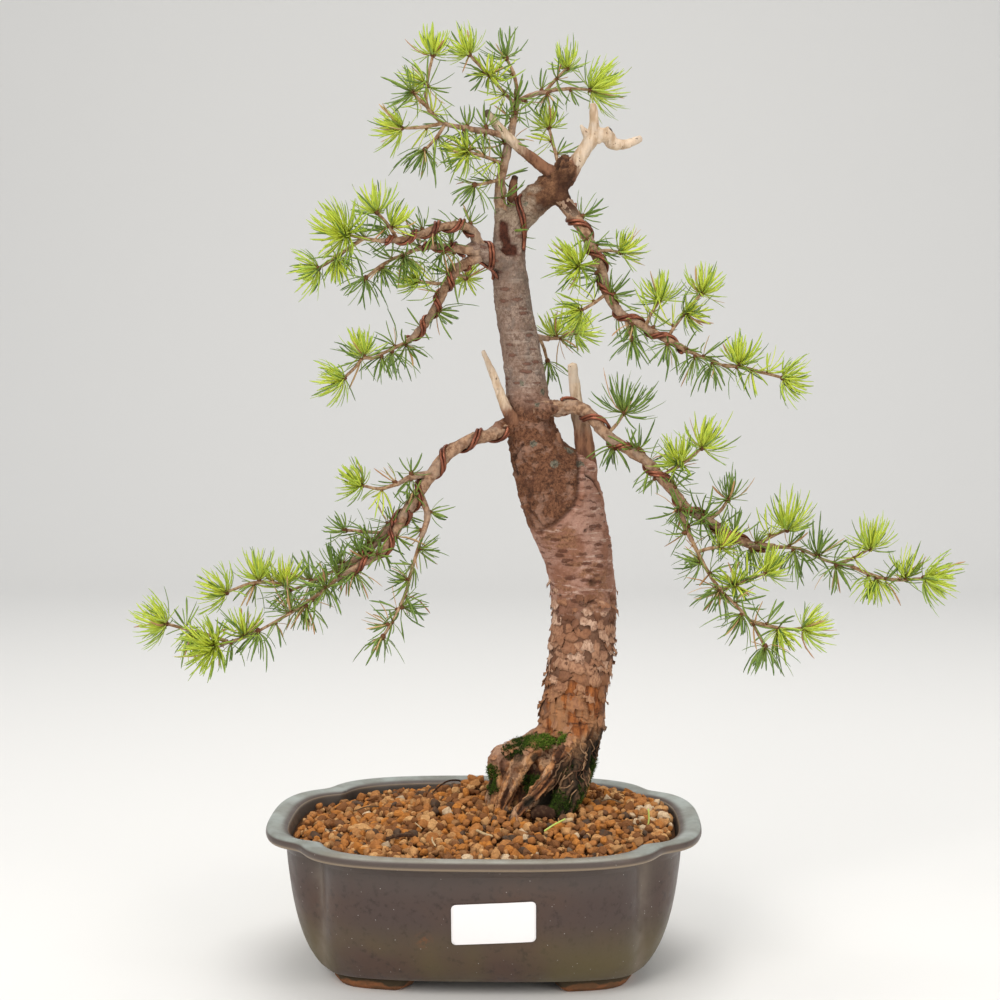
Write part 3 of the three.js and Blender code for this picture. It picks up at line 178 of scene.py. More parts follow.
def pot_outline(offset, count=POT_SIDES):
    """Even (x, y) points round the pot, with the creases between the lobes softened."""
    notch_x, notch_y, bow_x, bow_y = lobe(offset)
    u = np.sin(np.linspace(-0.5, 0.5, OUTLINE_STEPS + 1)[:-1] * math.pi)
    corners = np.concatenate([
        np.stack([notch_x * u, -notch_y - bow_y * bow(u)], 1),
        np.stack([notch_x + bow_x * bow(u), notch_y * u], 1),
        np.stack([-notch_x * u, notch_y + bow_y * bow(u)], 1),
        np.stack([-notch_x - bow_x * bow(u), -notch_y * u], 1),
    ])
    closed = np.vstack([corners, corners[:1]])
    along = np.concatenate([[0], np.cumsum(np.linalg.norm(np.diff(closed, axis=0), axis=1))])
    stops = np.linspace(0, along[-1], count, endpoint=False)
    ring = np.stack([np.interp(stops, along, closed[:, k]) for k in (0, 1)], 1)
    spacing = along[-1] / count
    reach = np.arange(-count // 4, count // 4)
    softness = np.interp(offset, (0, 9), (LIP_SOFTNESS, WALL_SOFTNESS))
    weights = np.exp(-0.5 * (reach * spacing / softness) ** 2)
    weights /= weights.sum()
    return sum(w * np.roll(ring, -k, axis=0) for w, k in zip(weights, reach) if w > 1e-4)


def catmull_rom(points, per_span):
    """Points along a centripetal curve through the given ones, whatever their length."""
    points = np.asarray(points, float)
    padded = np.vstack([2 * points[0] - points[1], points, 2 * points[-1] - points[-2]])
    gaps = np.sqrt(np.linalg.norm(np.diff(padded, axis=0), axis=1))
    t = np.linspace(0, 1, per_span, endpoint=False)[:, None]
    spans = []
    for k in range(len(points) - 1):
        before, start, end, after = padded[k:k + 4]
        g0, g1, g2 = gaps[k:k + 3]
        leave = ((start - before) / g0 - (end - before) / (g0 + g1)) * g1 + (end - start)
        arrive = (end - start) - ((after - start) / (g1 + g2) - (after - end) / g2) * g1
        spans.append(
            (2 * t**3 - 3 * t**2 + 1) * start + (t**3 - 2 * t**2 + t) * leave
            + (3 * t**2 - 2 * t**3) * end + (t**3 - t**2) * arrive
        )
    return np.vstack([*spans, points[-1:]])


def skin_rings(rings, start_tip, end_tip):
    """Closed body through rings of points (mm), with a cap point at each end."""
    count = len(rings[0])
    points = np.vstack([start_tip, *rings, end_tip])
    k = np.arange(count)
    after = (k + 1) % count
    last = 1 + (len(rings) - 1) * count
    faces = [(0, int(1 + b), int(1 + a)) for a, b in zip(k, after)]
    for ring in range(len(rings) - 1):
        low, high = 1 + ring * count, 1 + (ring + 1) * count
        faces += np.stack([low + k, low + after, high + after, high + k], 1).tolist()
    tip = len(points) - 1
    faces += [(tip, int(last + a), int(last + b)) for a, b in zip(k, after)]
    return points, faces


def make_piece(
        name, points, faces, materials, slot, replaced=(), face_material=None, marks=None, rounded=True):
    """Mesh object from points in mm round the pot's middle, riding on the part's one body."""
    placed = np.asarray(points, float) * MM + np.array([POT_X, POT_Y, 0])
    mesh = bpy.data.meshes.new(name)
    mesh.from_pydata(placed.tolist(), [], faces)
    mesh.polygons.foreach_set("use_smooth", [rounded] * len(mesh.polygons))
    if face_material is not None:
        mesh.polygons.foreach_set("material_index", face_material)
    for mark, values in (marks or {}).items():
        layer = mesh.attributes.new(mark, "FLOAT", "POINT")
        layer.data.foreach_set("value", np.asarray(values, np.float32))
    piece = bpy.data.objects.new(name, mesh)
    bpy.context.scene.collection.objects.link(piece)
    for material in materials:
        mesh.materials.append(material)
    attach(piece, "root")
    if replaced:
        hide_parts(*replaced)
    return piece


class Finish:
    """A material as it is mixed: each step adds shader nodes and gives back their output."""

    def __init__(self, name, roughness, specular=0.5):
        self.material = bpy.data.materials.new(name)
        self.material.use_nodes = True
        self.shader = self.material.node_tree.nodes["Principled BSDF"]
        self.shader.inputs["Roughness"].default_value = roughness
        self.shader.inputs["Specular IOR Level"].default_value = specular

    def node(self, kind, inputs, **settings):
        """A node whose inputs are values, colours or other nodes' output sockets."""
        node = self.material.node_tree.nodes.new(kind)
        for setting, value in settings.items():
            setattr(node, setting, value)
        for name, value in inputs.items():
            if isinstance(value, bpy.types.NodeSocket):
                self.material.node_tree.links.new(value, node.inputs[name])
            else:
                node.inputs[name].default_value = value
        return node

    def where(self):
        return self.node("ShaderNodeTexCoord", {}).outputs["Object"]

    def height(self):
        return self.node("ShaderNodeSeparateXYZ", {"Vector": self.where()}).outputs["Z"]

    def mark(self, name):
        """A value that the piece's mesh carries at its points."""
        return self.node("ShaderNodeAttribute", {}, attribute_name=name).outputs["Fac"]

    def place(self, stretch=(1, 1, 1)):
        return self.node("ShaderNodeMapping", {"Vector": self.where(), "Scale": stretch}).outputs["Vector"]

    def noise(self, scale, detail=5, stretch=(1, 1, 1), roughness=0.6):
        inputs = {"Vector": self.place(stretch), "Scale": scale, "Detail": detail, "Roughness": roughness}
        return self.node("ShaderNodeTexNoise", inputs).outputs["Fac"]

    def cells(self, scale, stretch=(1, 1, 1)):
        return self.node("ShaderNodeTexVoronoi", {"Vector": self.place(stretch), "Scale": scale}).outputs

    def ease(self, value, low, high, to_low=0.0, to_high=1.0):
        inputs = {"Value": value, "From Min": low, "From Max": high, "To Min": to_low, "To Max": to_high}
        return self.node("ShaderNodeMapRange", inputs, interpolation_type="SMOOTHSTEP").outputs["Result"]

    def patches(self, low, high, *noise):
        """Noise eased to run from 0 where it is low to 1 where it is high."""
        return self.ease(self.noise(*noise), low, high)

    def times(self, first, second):
        return self.node("ShaderNodeMath", {0: first, 1: second}, operation="MULTIPLY").outputs["Value"]

    def plus(self, first, second):
        return self.node("ShaderNodeMath", {0: first, 1: second}, operation="ADD").outputs["Value"]

    def coats(self, colour, *coats):
        """A colour with coats over it: (colour, share that it covers) or (colour, share, strength)."""
        for coat, share, *strength in coats:
            inputs = {0: self.times(share, *strength) if strength else share}
            for name, tone in ((6, colour), (7, coat)):
                inputs[name] = (*tone, 1) if isinstance(tone, tuple) else tone
            colour = self.node("ShaderNodeMix", inputs, data_type="RGBA").outputs[2]
        return colour

    def done(self, colour, height=None, relief=0.0004, roughness=None):
        """Joins colour, bump height and roughness to the shader and gives back the material."""
        inputs = {"Base Color": colour, "Roughness": roughness}
        if height is not None:
            bump = {"Strength": 1.0, "Distance": relief, "Height": height}
            inputs["Normal"] = self.node("ShaderNodeBump", bump).outputs["Normal"]
        for name, socket in inputs.items():
            if socket is not None:
                self.material.node_tree.links.new(socket, self.shader.inputs[name])
        return self.material


def pot_glaze():
    glaze = Finish("pot_glaze", 0.36, 0.4)
    olive = glaze.times(glaze.ease(glaze.height(), 0.052, 0.018), glaze.patches(0.36, 0.58, 14, 2))
    # Painted highlight: a pale band down each crease between the lobes, standing in for the light the glaze
    # catches there.
    painted_crease_highlight = glaze.times(glaze.mark("crease"), glaze.patches(0.3, 0.6, 40, 3))
    lip = glaze.coats(
        (0.205, 0.212, 0.186),
        ((0.33, 0.365, 0.345), glaze.patches(0.35, 0.7, 45, 4)),
        ((0.215, 0.17, 0.122), glaze.mark("front")),
    )
    cells = glaze.cells(300)
    speck = glaze.times(glaze.ease(cells["Distance"], 0.085, 0.05), glaze.ease(cells["Color"], 0.54, 0.58))
    ends = {0: glaze.where(), 1: spot(*RUST_SPOT)}
    from_rust = glaze.node("ShaderNodeVectorMath", ends, operation="DISTANCE").outputs["Value"]
    spatter = glaze.ease(glaze.noise(330, 4), 0.46, 0.6, 0.0, 0.6)
    rust = glaze.times(glaze.ease(from_rust, 0.007, 0.001), spatter)
    colour = glaze.coats(
        (0.076, 0.042, 0.028),
        ((0.06, 0.038, 0.032), glaze.patches(0.35, 0.65, 16, 3)),
        ((0.03, 0.018, 0.014), glaze.patches(0.52, 0.72, 260, 3), 0.75),
        ((0.088, 0.072, 0.063), glaze.ease(glaze.height(), 0.058, 0.076), 0.5),
        ((0.1, 0.076, 0.028), olive, 0.85),
        ((0.175, 0.138, 0.105), painted_crease_highlight, 0.75),
        (lip, glaze.mark("lip")),
        ((0.31, 0.235, 0.155), glaze.mark("edge")),
        ((0.06, 0.05, 0.042), glaze.mark("inside")),
        ((0.42, 0.39, 0.36), speck),
        ((0.16, 0.062, 0.022), rust),
    )
    sheen = glaze.ease(glaze.noise(60, 4), 0.3, 0.7, 0.34, 0.52)
    return glaze.done(colour, glaze.noise(140, 3), 0.00018, sheen)


def cut_drains(piece):
    """Cuts the two round drain holes through the pot's floor."""
    for x in (-DRAIN_X, DRAIN_X):
        bpy.ops.mesh.primitive_cylinder_add(
            vertices=48, radius=DRAIN_RADIUS * MM, depth=0.03, location=spot(x, 0, 10))
        drill = bpy.context.object
        cut = piece.modifiers.new("drain", "BOOLEAN")
        cut.operation = "DIFFERENCE"
        cut.object = drill
        bpy.context.view_layer.objects.active = piece
        bpy.ops.object.modifier_apply(modifier=cut.name)
        bpy.data.objects.remove(drill)


def pot_body():
    wall = catmull_rom(POT_WALL, WALL_SPAN_STEPS)
    rings = [np.column_stack([pot_outline(offset), np.full(POT_SIDES, z)]) for offset, z in wall]
    points, faces = skin_rings(rings, [(0, 0, POT_WALL[0][1])], [(0, 0, POT_WALL[-1][1])])
    plan = np.vstack(rings)
    offset, height = np.repeat(wall[:, 0], POT_SIDES), np.repeat(wall[:, 1], POT_SIDES)
    inner = np.repeat(np.arange(len(wall)) > WALL_SPAN_STEPS * POT_WALL.index(INNER_RIM), POT_SIDES)
    notch_x, notch_y, _, _ = lobe(offset)
    from_notch = np.hypot(np.abs(plan[:, 0]) - notch_x, np.abs(plan[:, 1]) - notch_y)
    worn_edge = np.exp(-((height - WORN_EDGE_HEIGHT) / 0.8) ** 2) * (offset < 3)
    worn_rim = np.exp(-((offset - WORN_RIM_OFFSET) / 0.5) ** 2) * inner
    lip = np.clip((height - LIP_FROM) / LIP_FADE, 0, 1)
    marks = {
        "lip": lip + np.clip((height - INNER_LIP_FROM) / LIP_FADE, 0, 1) * inner,
        "edge": 0.8 * worn_edge + 0.6 * worn_rim,
        "inside": np.clip((GLAZED_DOWN_TO - height) / 1.5, 0, 1) * inner,
        # The crease mark places the painted highlight down the outer creases.
        "crease": np.exp(-((from_notch / CREASE_WIDTH) ** 2)) * (height < CREASE_TOP) * (1 - inner),
        "front": 0.5 * np.clip((LIP_FRONT_Y - plan[:, 1]) / 10, 0, 1),
    }
    marks = {mark: np.concatenate([[0], np.clip(values, 0, 1), [0]]) for mark, values in marks.items()}
    return make_piece("pot_body", points, faces, [pot_glaze()], "glaze", ["pot"], marks=marks)


cut_drains(pot_body())

# Feet: four low brackets on the pot's foot ring, left unglazed, so they show the bare
# red-brown clay. Each one swells down from the wall and stands flat.
FOOT_HEIGHT = 9.5
FOOT_OUTER = 40
FOOT_INNER = 52
FOOT_CUT_X = 45
FOOT_CUT_Y = 22
FOOT_RUN_OUT, FOOT_RISE = 7, 6.5
FOOT_OUTLINE_STEPS = 720
FOOT_POINT_SPACING = 0.9
FEET = {"front_left": (-1, -1), "front_right": (1, -1), "back_right": (1, 1), "back_left": (-1, 1)}


def bare_clay():
    clay = Finish("bare_clay", 0.85, 0.3)
    ragged = clay.ease(clay.noise(60, 3), 0.3, 0.7, -0.0018, 0.0018)
    colour = clay.coats(
        (0.15, 0.075, 0.035),
        ((0.3, 0.115, 0.045), clay.patches(0.35, 0.68, 120, 5)),
        ((0.06, 0.042, 0.022), clay.ease(clay.plus(clay.height(), ragged), 0.0032, 0.0046)),
    )
    return clay.done(colour, clay.noise(900, 4), 0.0003)


def pot_feet(clay):
    outer, inner = pot_outline(FOOT_OUTER, FOOT_OUTLINE_STEPS), pot_outline(FOOT_INNER, FOOT_OUTLINE_STEPS)
    kept = (np.abs(outer[:, 0]) > FOOT_CUT_X) & (np.abs(outer[:, 1]) > FOOT_CUT_Y)
    for name, (side_x, side_y) in FEET.items():
        here = np.where(kept & (outer[:, 0] * side_x > 0) & (outer[:, 1] * side_y > 0))[0]
        if here[-1] - here[0] > FOOT_OUTLINE_STEPS / 2:
            here = np.roll(here, -int(np.argmax(np.diff(here))) - 1)
        number = np.arange(len(here))
        reach = np.minimum(number, number[::-1]) * FOOT_POINT_SPACING
        run_out = 1 - np.clip(reach / FOOT_RUN_OUT, 0, 1)
        rise = FOOT_RISE * (1 - np.sqrt(np.clip(1 - run_out**2, 0, 1)))
        sections = []
        for out, back, up in zip(outer[here], inner[here], rise):
            across = (back - out) / np.linalg.norm(back - out)
            sections.append(np.array([
                (*out, FOOT_HEIGHT), (*(out + across * 0.3), up + 3), (*(out + across * 2.6), up),
                (*(back - across * 1.5), up), (*back, up + 1.5), (*back, FOOT_HEIGHT),
            ]))
        ends = [sections[k].mean(0, keepdims=True) for k in (0, -1)]
        make_piece(f"foot_{name}", *skin_rings(sections, *ends), [clay], "glaze")


pot_feet(bare_clay())

# Drain mesh: a square of black plastic net over each hole, under the soil, there to
# keep the granules in. It shows only from below.
NET_HALF = 15
NET_PITCH = 2.5
NET_STRAND = 0.45
NET_BOTTOM = 14.4
BOX_CORNERS = [(-1, -1), (1, -1), (1, 1), (-1, 1)]
BOX_FACES = [(0, 3, 2, 1), (4, 5, 6, 7), (0, 1, 5, 4), (1, 2, 6, 5), (2, 3, 7, 6), (3, 0, 4, 7)]


def net_plastic():
    plastic = Finish("net_plastic", 0.5)
    colour = plastic.coats((0.012, 0.012, 0.012), ((0.03, 0.03, 0.03), plastic.patches(0.3, 0.7, 300, 3)))
    return plastic.done(colour, plastic.noise(1500, 2), 0.0001)


def drain_net(node, plastic):
    """Net of crossing flat strands, where the node of the drain mesh lies."""
    low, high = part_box(node)
    centre_x, centre_y = ((low.x + high.x) / 2 - POT_X) / MM, ((low.y + high.y) / 2 - POT_Y) / MM
    points, faces = [], []
    lines = np.arange(-NET_HALF + NET_STRAND, NET_HALF - NET_STRAND + 0.01, NET_PITCH)
    strands = [(centre_x, centre_y + line, NET_HALF, NET_STRAND) for line in lines]
    strands += [(centre_x + line, centre_y, NET_STRAND, NET_HALF) for line in lines]
    for x, y, half_x, half_y in strands:
        faces += [tuple(len(points) + k for k in face) for face in BOX_FACES]
        for level in (NET_BOTTOM, NET_BOTTOM + 2 * NET_STRAND):
            points += [(x + sx * half_x, y + sy * half_y, level) for sx, sy in BOX_CORNERS]
    make_piece(f"{node}_net", points, faces, [plastic], "drain_mesh", [node])


for mesh_node in ("drain_mesh_left", "drain_mesh_right"):
    drain_net(mesh_node, plastic=net_plastic())

# Label: a small blank white card with rounded corners, stuck to the bowed front wall.
LABEL_CENTRE_X = 8
LABEL_WIDTH = 47
LABEL_BOTTOM = 36.8
LABEL_TOP = 60.8
LABEL_TILT = 0.05
LABEL_CORNER = 2.6
LABEL_LIFT = 0.75
LABEL_THICKNESS = 0.3
LABEL_COLUMNS = 25
OUTER_WALL_POINTS = 42


def label_card():
    card = Finish("label_card", 0.55, 0.3)
    colour = card.coats((0.86, 0.83, 0.84), ((0.9, 0.88, 0.88), card.noise(35, 2)))
    return card.done(colour, card.noise(1800, 2), 0.00003)


def sheet_faces(rows, columns):
    """Faces of a closed sheet: a lower layer of points by rows, then an upper one."""
    layer = rows * columns
    faces = []
    for row in range(rows - 1):
        for k in range(row * columns, (row + 1) * columns - 1):
            low = (k, k + 1, k + columns + 1, k + columns)
            faces += [low, tuple(layer + n for n in low[::-1])]
    border = [*range(columns - 1), *range(columns - 1, layer - 1, columns)]
    border += [*range(layer - 1, layer - columns, -1), *range(layer - columns, 0, -columns)]
    for here, there in zip(border, border[1:] + border[:1]):
        faces.append((there, here, here + layer, there + layer))
    return faces


def label_piece():
    into_corner = LABEL_CORNER * (1 - np.cos(np.linspace(0, math.pi / 2, 6)))
    rows = np.concatenate([LABEL_BOTTOM + into_corner, (LABEL_TOP - into_corner)[::-1]])
    reach = LABEL_CORNER - np.minimum(np.minimum(rows - LABEL_BOTTOM, LABEL_TOP - rows), LABEL_CORNER)
    half_width = LABEL_WIDTH / 2 - (LABEL_CORNER - np.sqrt(LABEL_CORNER**2 - reach**2))
    wall = catmull_rom(POT_WALL, WALL_SPAN_STEPS)[:OUTER_WALL_POINTS]
    layers = []
    for lift in (LABEL_LIFT - LABEL_THICKNESS, LABEL_LIFT):
        for z, half in zip(rows, half_width):
            x = LABEL_CENTRE_X + np.linspace(-1, 1, LABEL_COLUMNS) * half
            level = z + LABEL_TILT * (x - LABEL_CENTRE_X)
            notch_x, notch_y, _, bow_y = lobe(np.interp(level, wall[:, 1], wall[:, 0]))
            layers.append(np.column_stack([x, -notch_y - bow_y * bow(x / notch_x) - lift, level]))
    faces = [face[::-1] for face in sheet_faces(len(rows), LABEL_COLUMNS)]
    make_piece("label_card", np.vstack(layers), faces, [label_card()], "card", ["label"])


label_piece()

# Trunk: one leaning stem of old larch wood, with roots that grip the soil, a limb cut off
# half way up and grown over, and the first stretch of each branch that grows from it.
# The trunk, its roots and the swellings on it are given as (x, y, z, radius) stations.
TRUNK = [
    (29, 15, 67, 22), (34, 19, 87, 23), (40, 23, 101, 22), (46, 27, 115, 20.8), (51, 30, 129, 20.2),
    (54, 31, 151, 20), (58, 32, 177, 20), (60, 34, 201, 19.8), (59, 34, 223, 20.2), (56, 34, 241, 21.4),
    (50, 34, 261, 24.4), (46, 34, 275, 25.4), (40, 33, 289, 23.5), (32, 32, 303, 17.5), (27, 31, 321, 14.8),
    (24, 29, 347, 12.8), (20, 27, 373, 12), (16, 25, 399, 11.2), (14, 22, 425, 10.8), (17, 20, 442, 10),
    (27, 20, 452, 9.6), (40, 20, 463, 9), (47, 20, 471, 8.4),
]
ROOTS = [
    [(38, 24, 128, 11), (23, 18, 123, 8.5), (8.5, 13, 119, 7.2), (8.5, 12, 108, 5.8), (6, 8, 95, 6.3),
        (3, 5, 83, 4)],
    [(38, 18, 126, 9), (25, 11, 121, 6.5), (18, 5, 110, 5.5), (13, 1, 98, 5), (8, -4, 84, 4)],
    [(40, 26, 128, 10), (27, 18, 122, 9), (16, 15, 114, 8), (9, 13, 100, 7)],
    [(52, 14, 132, 7), (46, 4, 122, 6), (38, -6, 111, 5), (30, -13, 102, 4.6), (22, -18, 95, 4.2),
        (16, -22, 84, 3)],
    [(56, 15, 126, 9), (54, 4, 110, 9), (48, -4, 98, 8), (42, -11, 88, 6.5), (38, -15, 80, 4)],
    [(55, 30, 122, 9), (53, 36, 104, 8), (54, 44, 92, 6), (56, 52, 80, 4)],
    [(44, 40, 126, 10), (38, 52, 106, 8), (32, 64, 90, 5.5), (28, 72, 80, 4)],
    [(34, 34, 122, 9), (20, 40, 104, 7.5), (8, 46, 90, 5), (0, 50, 80, 3.5)],
]
BOSSES = [
    [(15, 21, 418, 8.5), (3, 12, 422, 7), (-8, 3, 426, 5)],
    [(58, 30, 211, 14), (68, 20, 211, 9), (72, 16, 212, 6)],
    [(30, 28, 329, 8), (34, 19, 330, 6.4), (37, 14, 330, 5)],
    [(34, 23, 331, 7), (44, 19, 331, 5.6), (53, 16, 332, 4.4)],
    [(24, 28, 321, 8), (13, 22, 319, 5.6), (4, 14, 316, 4.2)],
    [(40, 20, 463, 8), (48, 16, 452, 5.2), (54, 12, 444, 4)],
    [(12, 19, 424, 6), (10, 14, 438, 4.8), (9, 13, 450, 3.9)],
    [(17, 27, 378, 7), (25, 40, 375, 3)],
    [(44, 20, 468, 8.5), (48, 17, 472, 7.4), (47, 19, 478, 5)],
    [(54, 32, 281, 11), (60, 31, 290, 8.2), (60, 30, 298, 6.6)],
]
TRUNK_VOXEL = 1.0


def lay_path(stations, step):
    """Points and radii at even steps along a centripetal curve through (x, y, z, radius) stations."""
    per_span = 24
    fine = catmull_rom([s[:3] for s in stations], per_span)
    radii = np.interp(np.arange(len(fine)) / per_span, np.arange(len(stations)), [s[3] for s in stations])
    along = np.concatenate([[0], np.cumsum(np.linalg.norm(np.diff(fine, axis=0), axis=1))])
    stops = np.linspace(0, along[-1], max(3, int(along[-1] / step) + 1))
    path = np.stack([np.interp(stops, along, fine[:, k]) for k in range(3)], 1)
    return path, np.interp(stops, along, radii)


def path_frames(path):
    """Direction and two side vectors at each point of a path, carried along without twist."""
    ahead = np.gradient(path, axis=0)
    ahead /= np.linalg.norm(ahead, axis=1, keepdims=True)
    side = np.array([0.0, -1.0, 0.0])
    sides = []
    for way in ahead:
        side = side - way * side.dot(way)
        side = side / np.linalg.norm(side)
        sides.append(side)
    sides = np.array(sides)
    return ahead, sides, np.cross(ahead, sides)


def rod(path, radii, sides, swell=None, tip=1.0):
    """Closed body along a path; swell(path, angles) gives each point's share of extra radius."""
    ahead, side, up = path_frames(path)
    angles = 2 * math.pi * np.arange(sides) / sides
    reach = radii[:, None] * (1 + (swell(path, angles) if swell else 0)) * np.ones(sides)
    rings = (path[:, None] + reach[..., None] * (
        np.cos(angles)[:, None] * side[:, None] + np.sin(angles)[:, None] * up[:, None]))
    return skin_rings(list(rings), path[:1], (path[-1] + ahead[-1] * radii[-1] * tip)[None])


def tube(stations, sides, step, swell=None, tip=1.0):
    """Round body along (x, y, z, radius) stations."""
    return rod(*lay_path(stations, step), sides, swell, tip)


def join_bodies(bodies):
    """One list of points and faces from several."""
    points, faces, start = [], [], 0
    for own_points, own_faces in bodies:
        points.append(own_points)
        faces += [tuple(start + k for k in face) for face in own_faces]
        start += len(own_points)
    return np.vstack(points), faces


def remeshed(points, faces, voxel):
    """The bodies fused into one skin of small even faces, as points in mm, normals and faces."""
    mesh = bpy.data.meshes.new("fuse")
    mesh.from_pydata(np.asarray(points).tolist(), [], faces)
    helper = bpy.data.objects.new("fuse", mesh)
    bpy.context.scene.collection.objects.link(helper)
    fuse = helper.modifiers.new("fuse", "REMESH")
    fuse.mode = "VOXEL"
    fuse.voxel_size = voxel
    bpy.context.view_layer.update()
    result = helper.evaluated_get(bpy.context.evaluated_depsgraph_get()).data
    skin = np.empty(len(result.vertices) * 3)
    result.vertices.foreach_get("co", skin)
    normals = np.empty(len(result.vertices) * 3)
    result.vertices.foreach_get("normal", normals)
    skin_faces = [tuple(polygon.vertices) for polygon in result.polygons]
    bpy.data.objects.remove(helper)
    bpy.data.meshes.remove(mesh)
    return skin.reshape(-1, 3), normals.reshape(-1, 3), skin_faces


def smoothstep(values, low, high):
    """0 below low, 1 above high, and an even curve between."""
    share = np.clip((values - low) / (high - low), 0, 1)
    return share * share * (3 - 2 * share)


def rough(points, scale, octaves=3, offset=0.0):
    """Fractal noise between about -1 and 1 at points in mm, with features of the given size."""
    shift = Vector((offset,) * 3)
    return np.array([noise.fractal(Vector(p / scale) + shift, 1.0, 2.1, octaves) for p in points])


# Marks on the front of the trunk as (x, z), set on the bark behind them: the seam and the
# groove of the grown-over cut, black cracks above it, a hollow, knots and lichen.
SEAM = [(55.6, 303.4), (56.2, 294.4), (56.3, 284.8), (55.1, 276.4), (49.7, 269.2), (41.4, 262), (33, 257.1)]
GROOVE = [(14.9, 303.2), (18.5, 288.2), (23.4, 276.2), (29.4, 266.6), (36, 258.1)]
CRACKS = [[(60, 291), (64.5, 288), (68, 283), (70.5, 277.5)], [(22, 309), (17, 300), (19, 291)]]
HOLLOW = [(10.7, 439.3), (11.3, 432.2), (13.7, 426.3), (18.4, 424.6)]
KNOTS = [
    ((64.7, 226.5), 6.5), ((45.3, 217.3), 3.5), ((45.2, 203.5), 4.5), ((40.6, 330.3), 4), ((60, 258), 3.2),
    ((63.5, 146.9), 4.2), ((57.8, 140.6), 4.0),
]
LICHEN = [
    ((28.7, 309.7), 4), ((41.9, 298), 5), ((51, 306), 6), ((57, 298), 5), ((35, 340.9), 4), ((31, 334), 4),
    ((22, 346), 3), ((24, 452), 3),
]
BARE_PLACES = [((60, 154), 18), ((50, 149), 17), ((60, 142), 16), ((42, 154), 11), ((44, 141), 12)]
DAMP_AND_SHADE_PLACES = [((27, 101), 6), ((4, 104), 6), ((20, 122), 5), ((30, 121), 4)]
# The middle of the root in front as (z, x): the bark at its right is painted dark, partly damp earth and
# partly painted shade.
FRONT_ROOT = [(88, 18), (106, 31), (118, 38), (132, 50)]
# The broken collar under the horn, rusty places on the smooth bark, and the left root's pale knob.
COLLAR = [((47, 18, 479), 15), ((40, 18, 470), 9)]
RUST_PLACES = [((65, 226), 15), ((44, 252), 15), ((69, 212), 14), ((53, 240), 9), ((47, 222), 9)]
KNOB = [((6.5, 7, 119.5), 10)]
SEAM_X, SEAM_Z = np.array(SEAM)[::-1].T
# Heights in mm between which one kind of bark gives way to the next, from the roots upwards.
# From CALM_FROM on the trunk's waves are weaker, and from TOP_ROUGH_FROM on it is gnarled.
ROOTS_TO = (121, 129)
PINK_FROM, SMOOTH_FROM = (196, 222), (205, 230)
CALLUS_FROM, CALLUS_TO = (256, 260), (328, 348)
GREY_FROM = (325, 350)
CALM_FROM = (330, 350)
TOP_LIMB_FROM, TOP_ROUGH_FROM = (432, 446), (456, 466)
BROWN_SIDE_FROM, BROWN_SIDE_X = (440, 452), (25, 33)
DAMP_AND_SHADE_TO = (128, 142)


def on_front(surface, x, z):
    """The point of a surface that is seen from the front at (x, z)."""
    hit = surface.ray_cast(Vector((x, -80, z)), Vector((0, 1, 0)))[0]
    return np.array(hit if hit else surface.find_nearest(Vector((x, 12, z)))[0])


def distance_to_line(points, line, surface):
    """Distance of each point to a line that is given as (x, z) and laid on the surface."""
    path = catmull_rom([on_front(surface, x, z) for x, z in line], 12)
    return np.min([np.linalg.norm(points - p, axis=1) for p in path], axis=0)


def near_places(points, places):
    """1 at the middle of each (middle, radius) place, fading to 0 at its radius."""
    share = np.zeros(len(points))
    for middle, radius in places:
        share = np.maximum(share, 1 - np.linalg.norm(points - np.array(middle), axis=1) / radius)
    return np.clip(share, 0, 1)


def near_marks(points, marks, surface):
    """near_places for marks given as (x, z) on the front of a surface."""
    return near_places(points, [(on_front(surface, *place), radius) for place, radius in marks])


def bark_at(surface, place):
    """The nearest point of the bark to a place, and which way the bark faces there."""
    near, normal, _, _ = surface.find_nearest(Vector(place))
    return np.array(near), np.array(normal)


def damp_and_shade_share(points, surface):
    """1 where the foot is painted dark for damp earth and painted shade: at the front root's right, and in
    hollows between roots.
    """
    x, _, z = points.T
    beside = smoothstep(x - np.interp(z, *zip(*FRONT_ROOT)), 6, 10)
    low_down = 1 - smoothstep(z + 0.5 * (70 - x), *DAMP_AND_SHADE_TO)
    return np.maximum(beside * low_down, smoothstep(near_marks(points, DAMP_AND_SHADE_PLACES, surface), 0.1, 0.5))


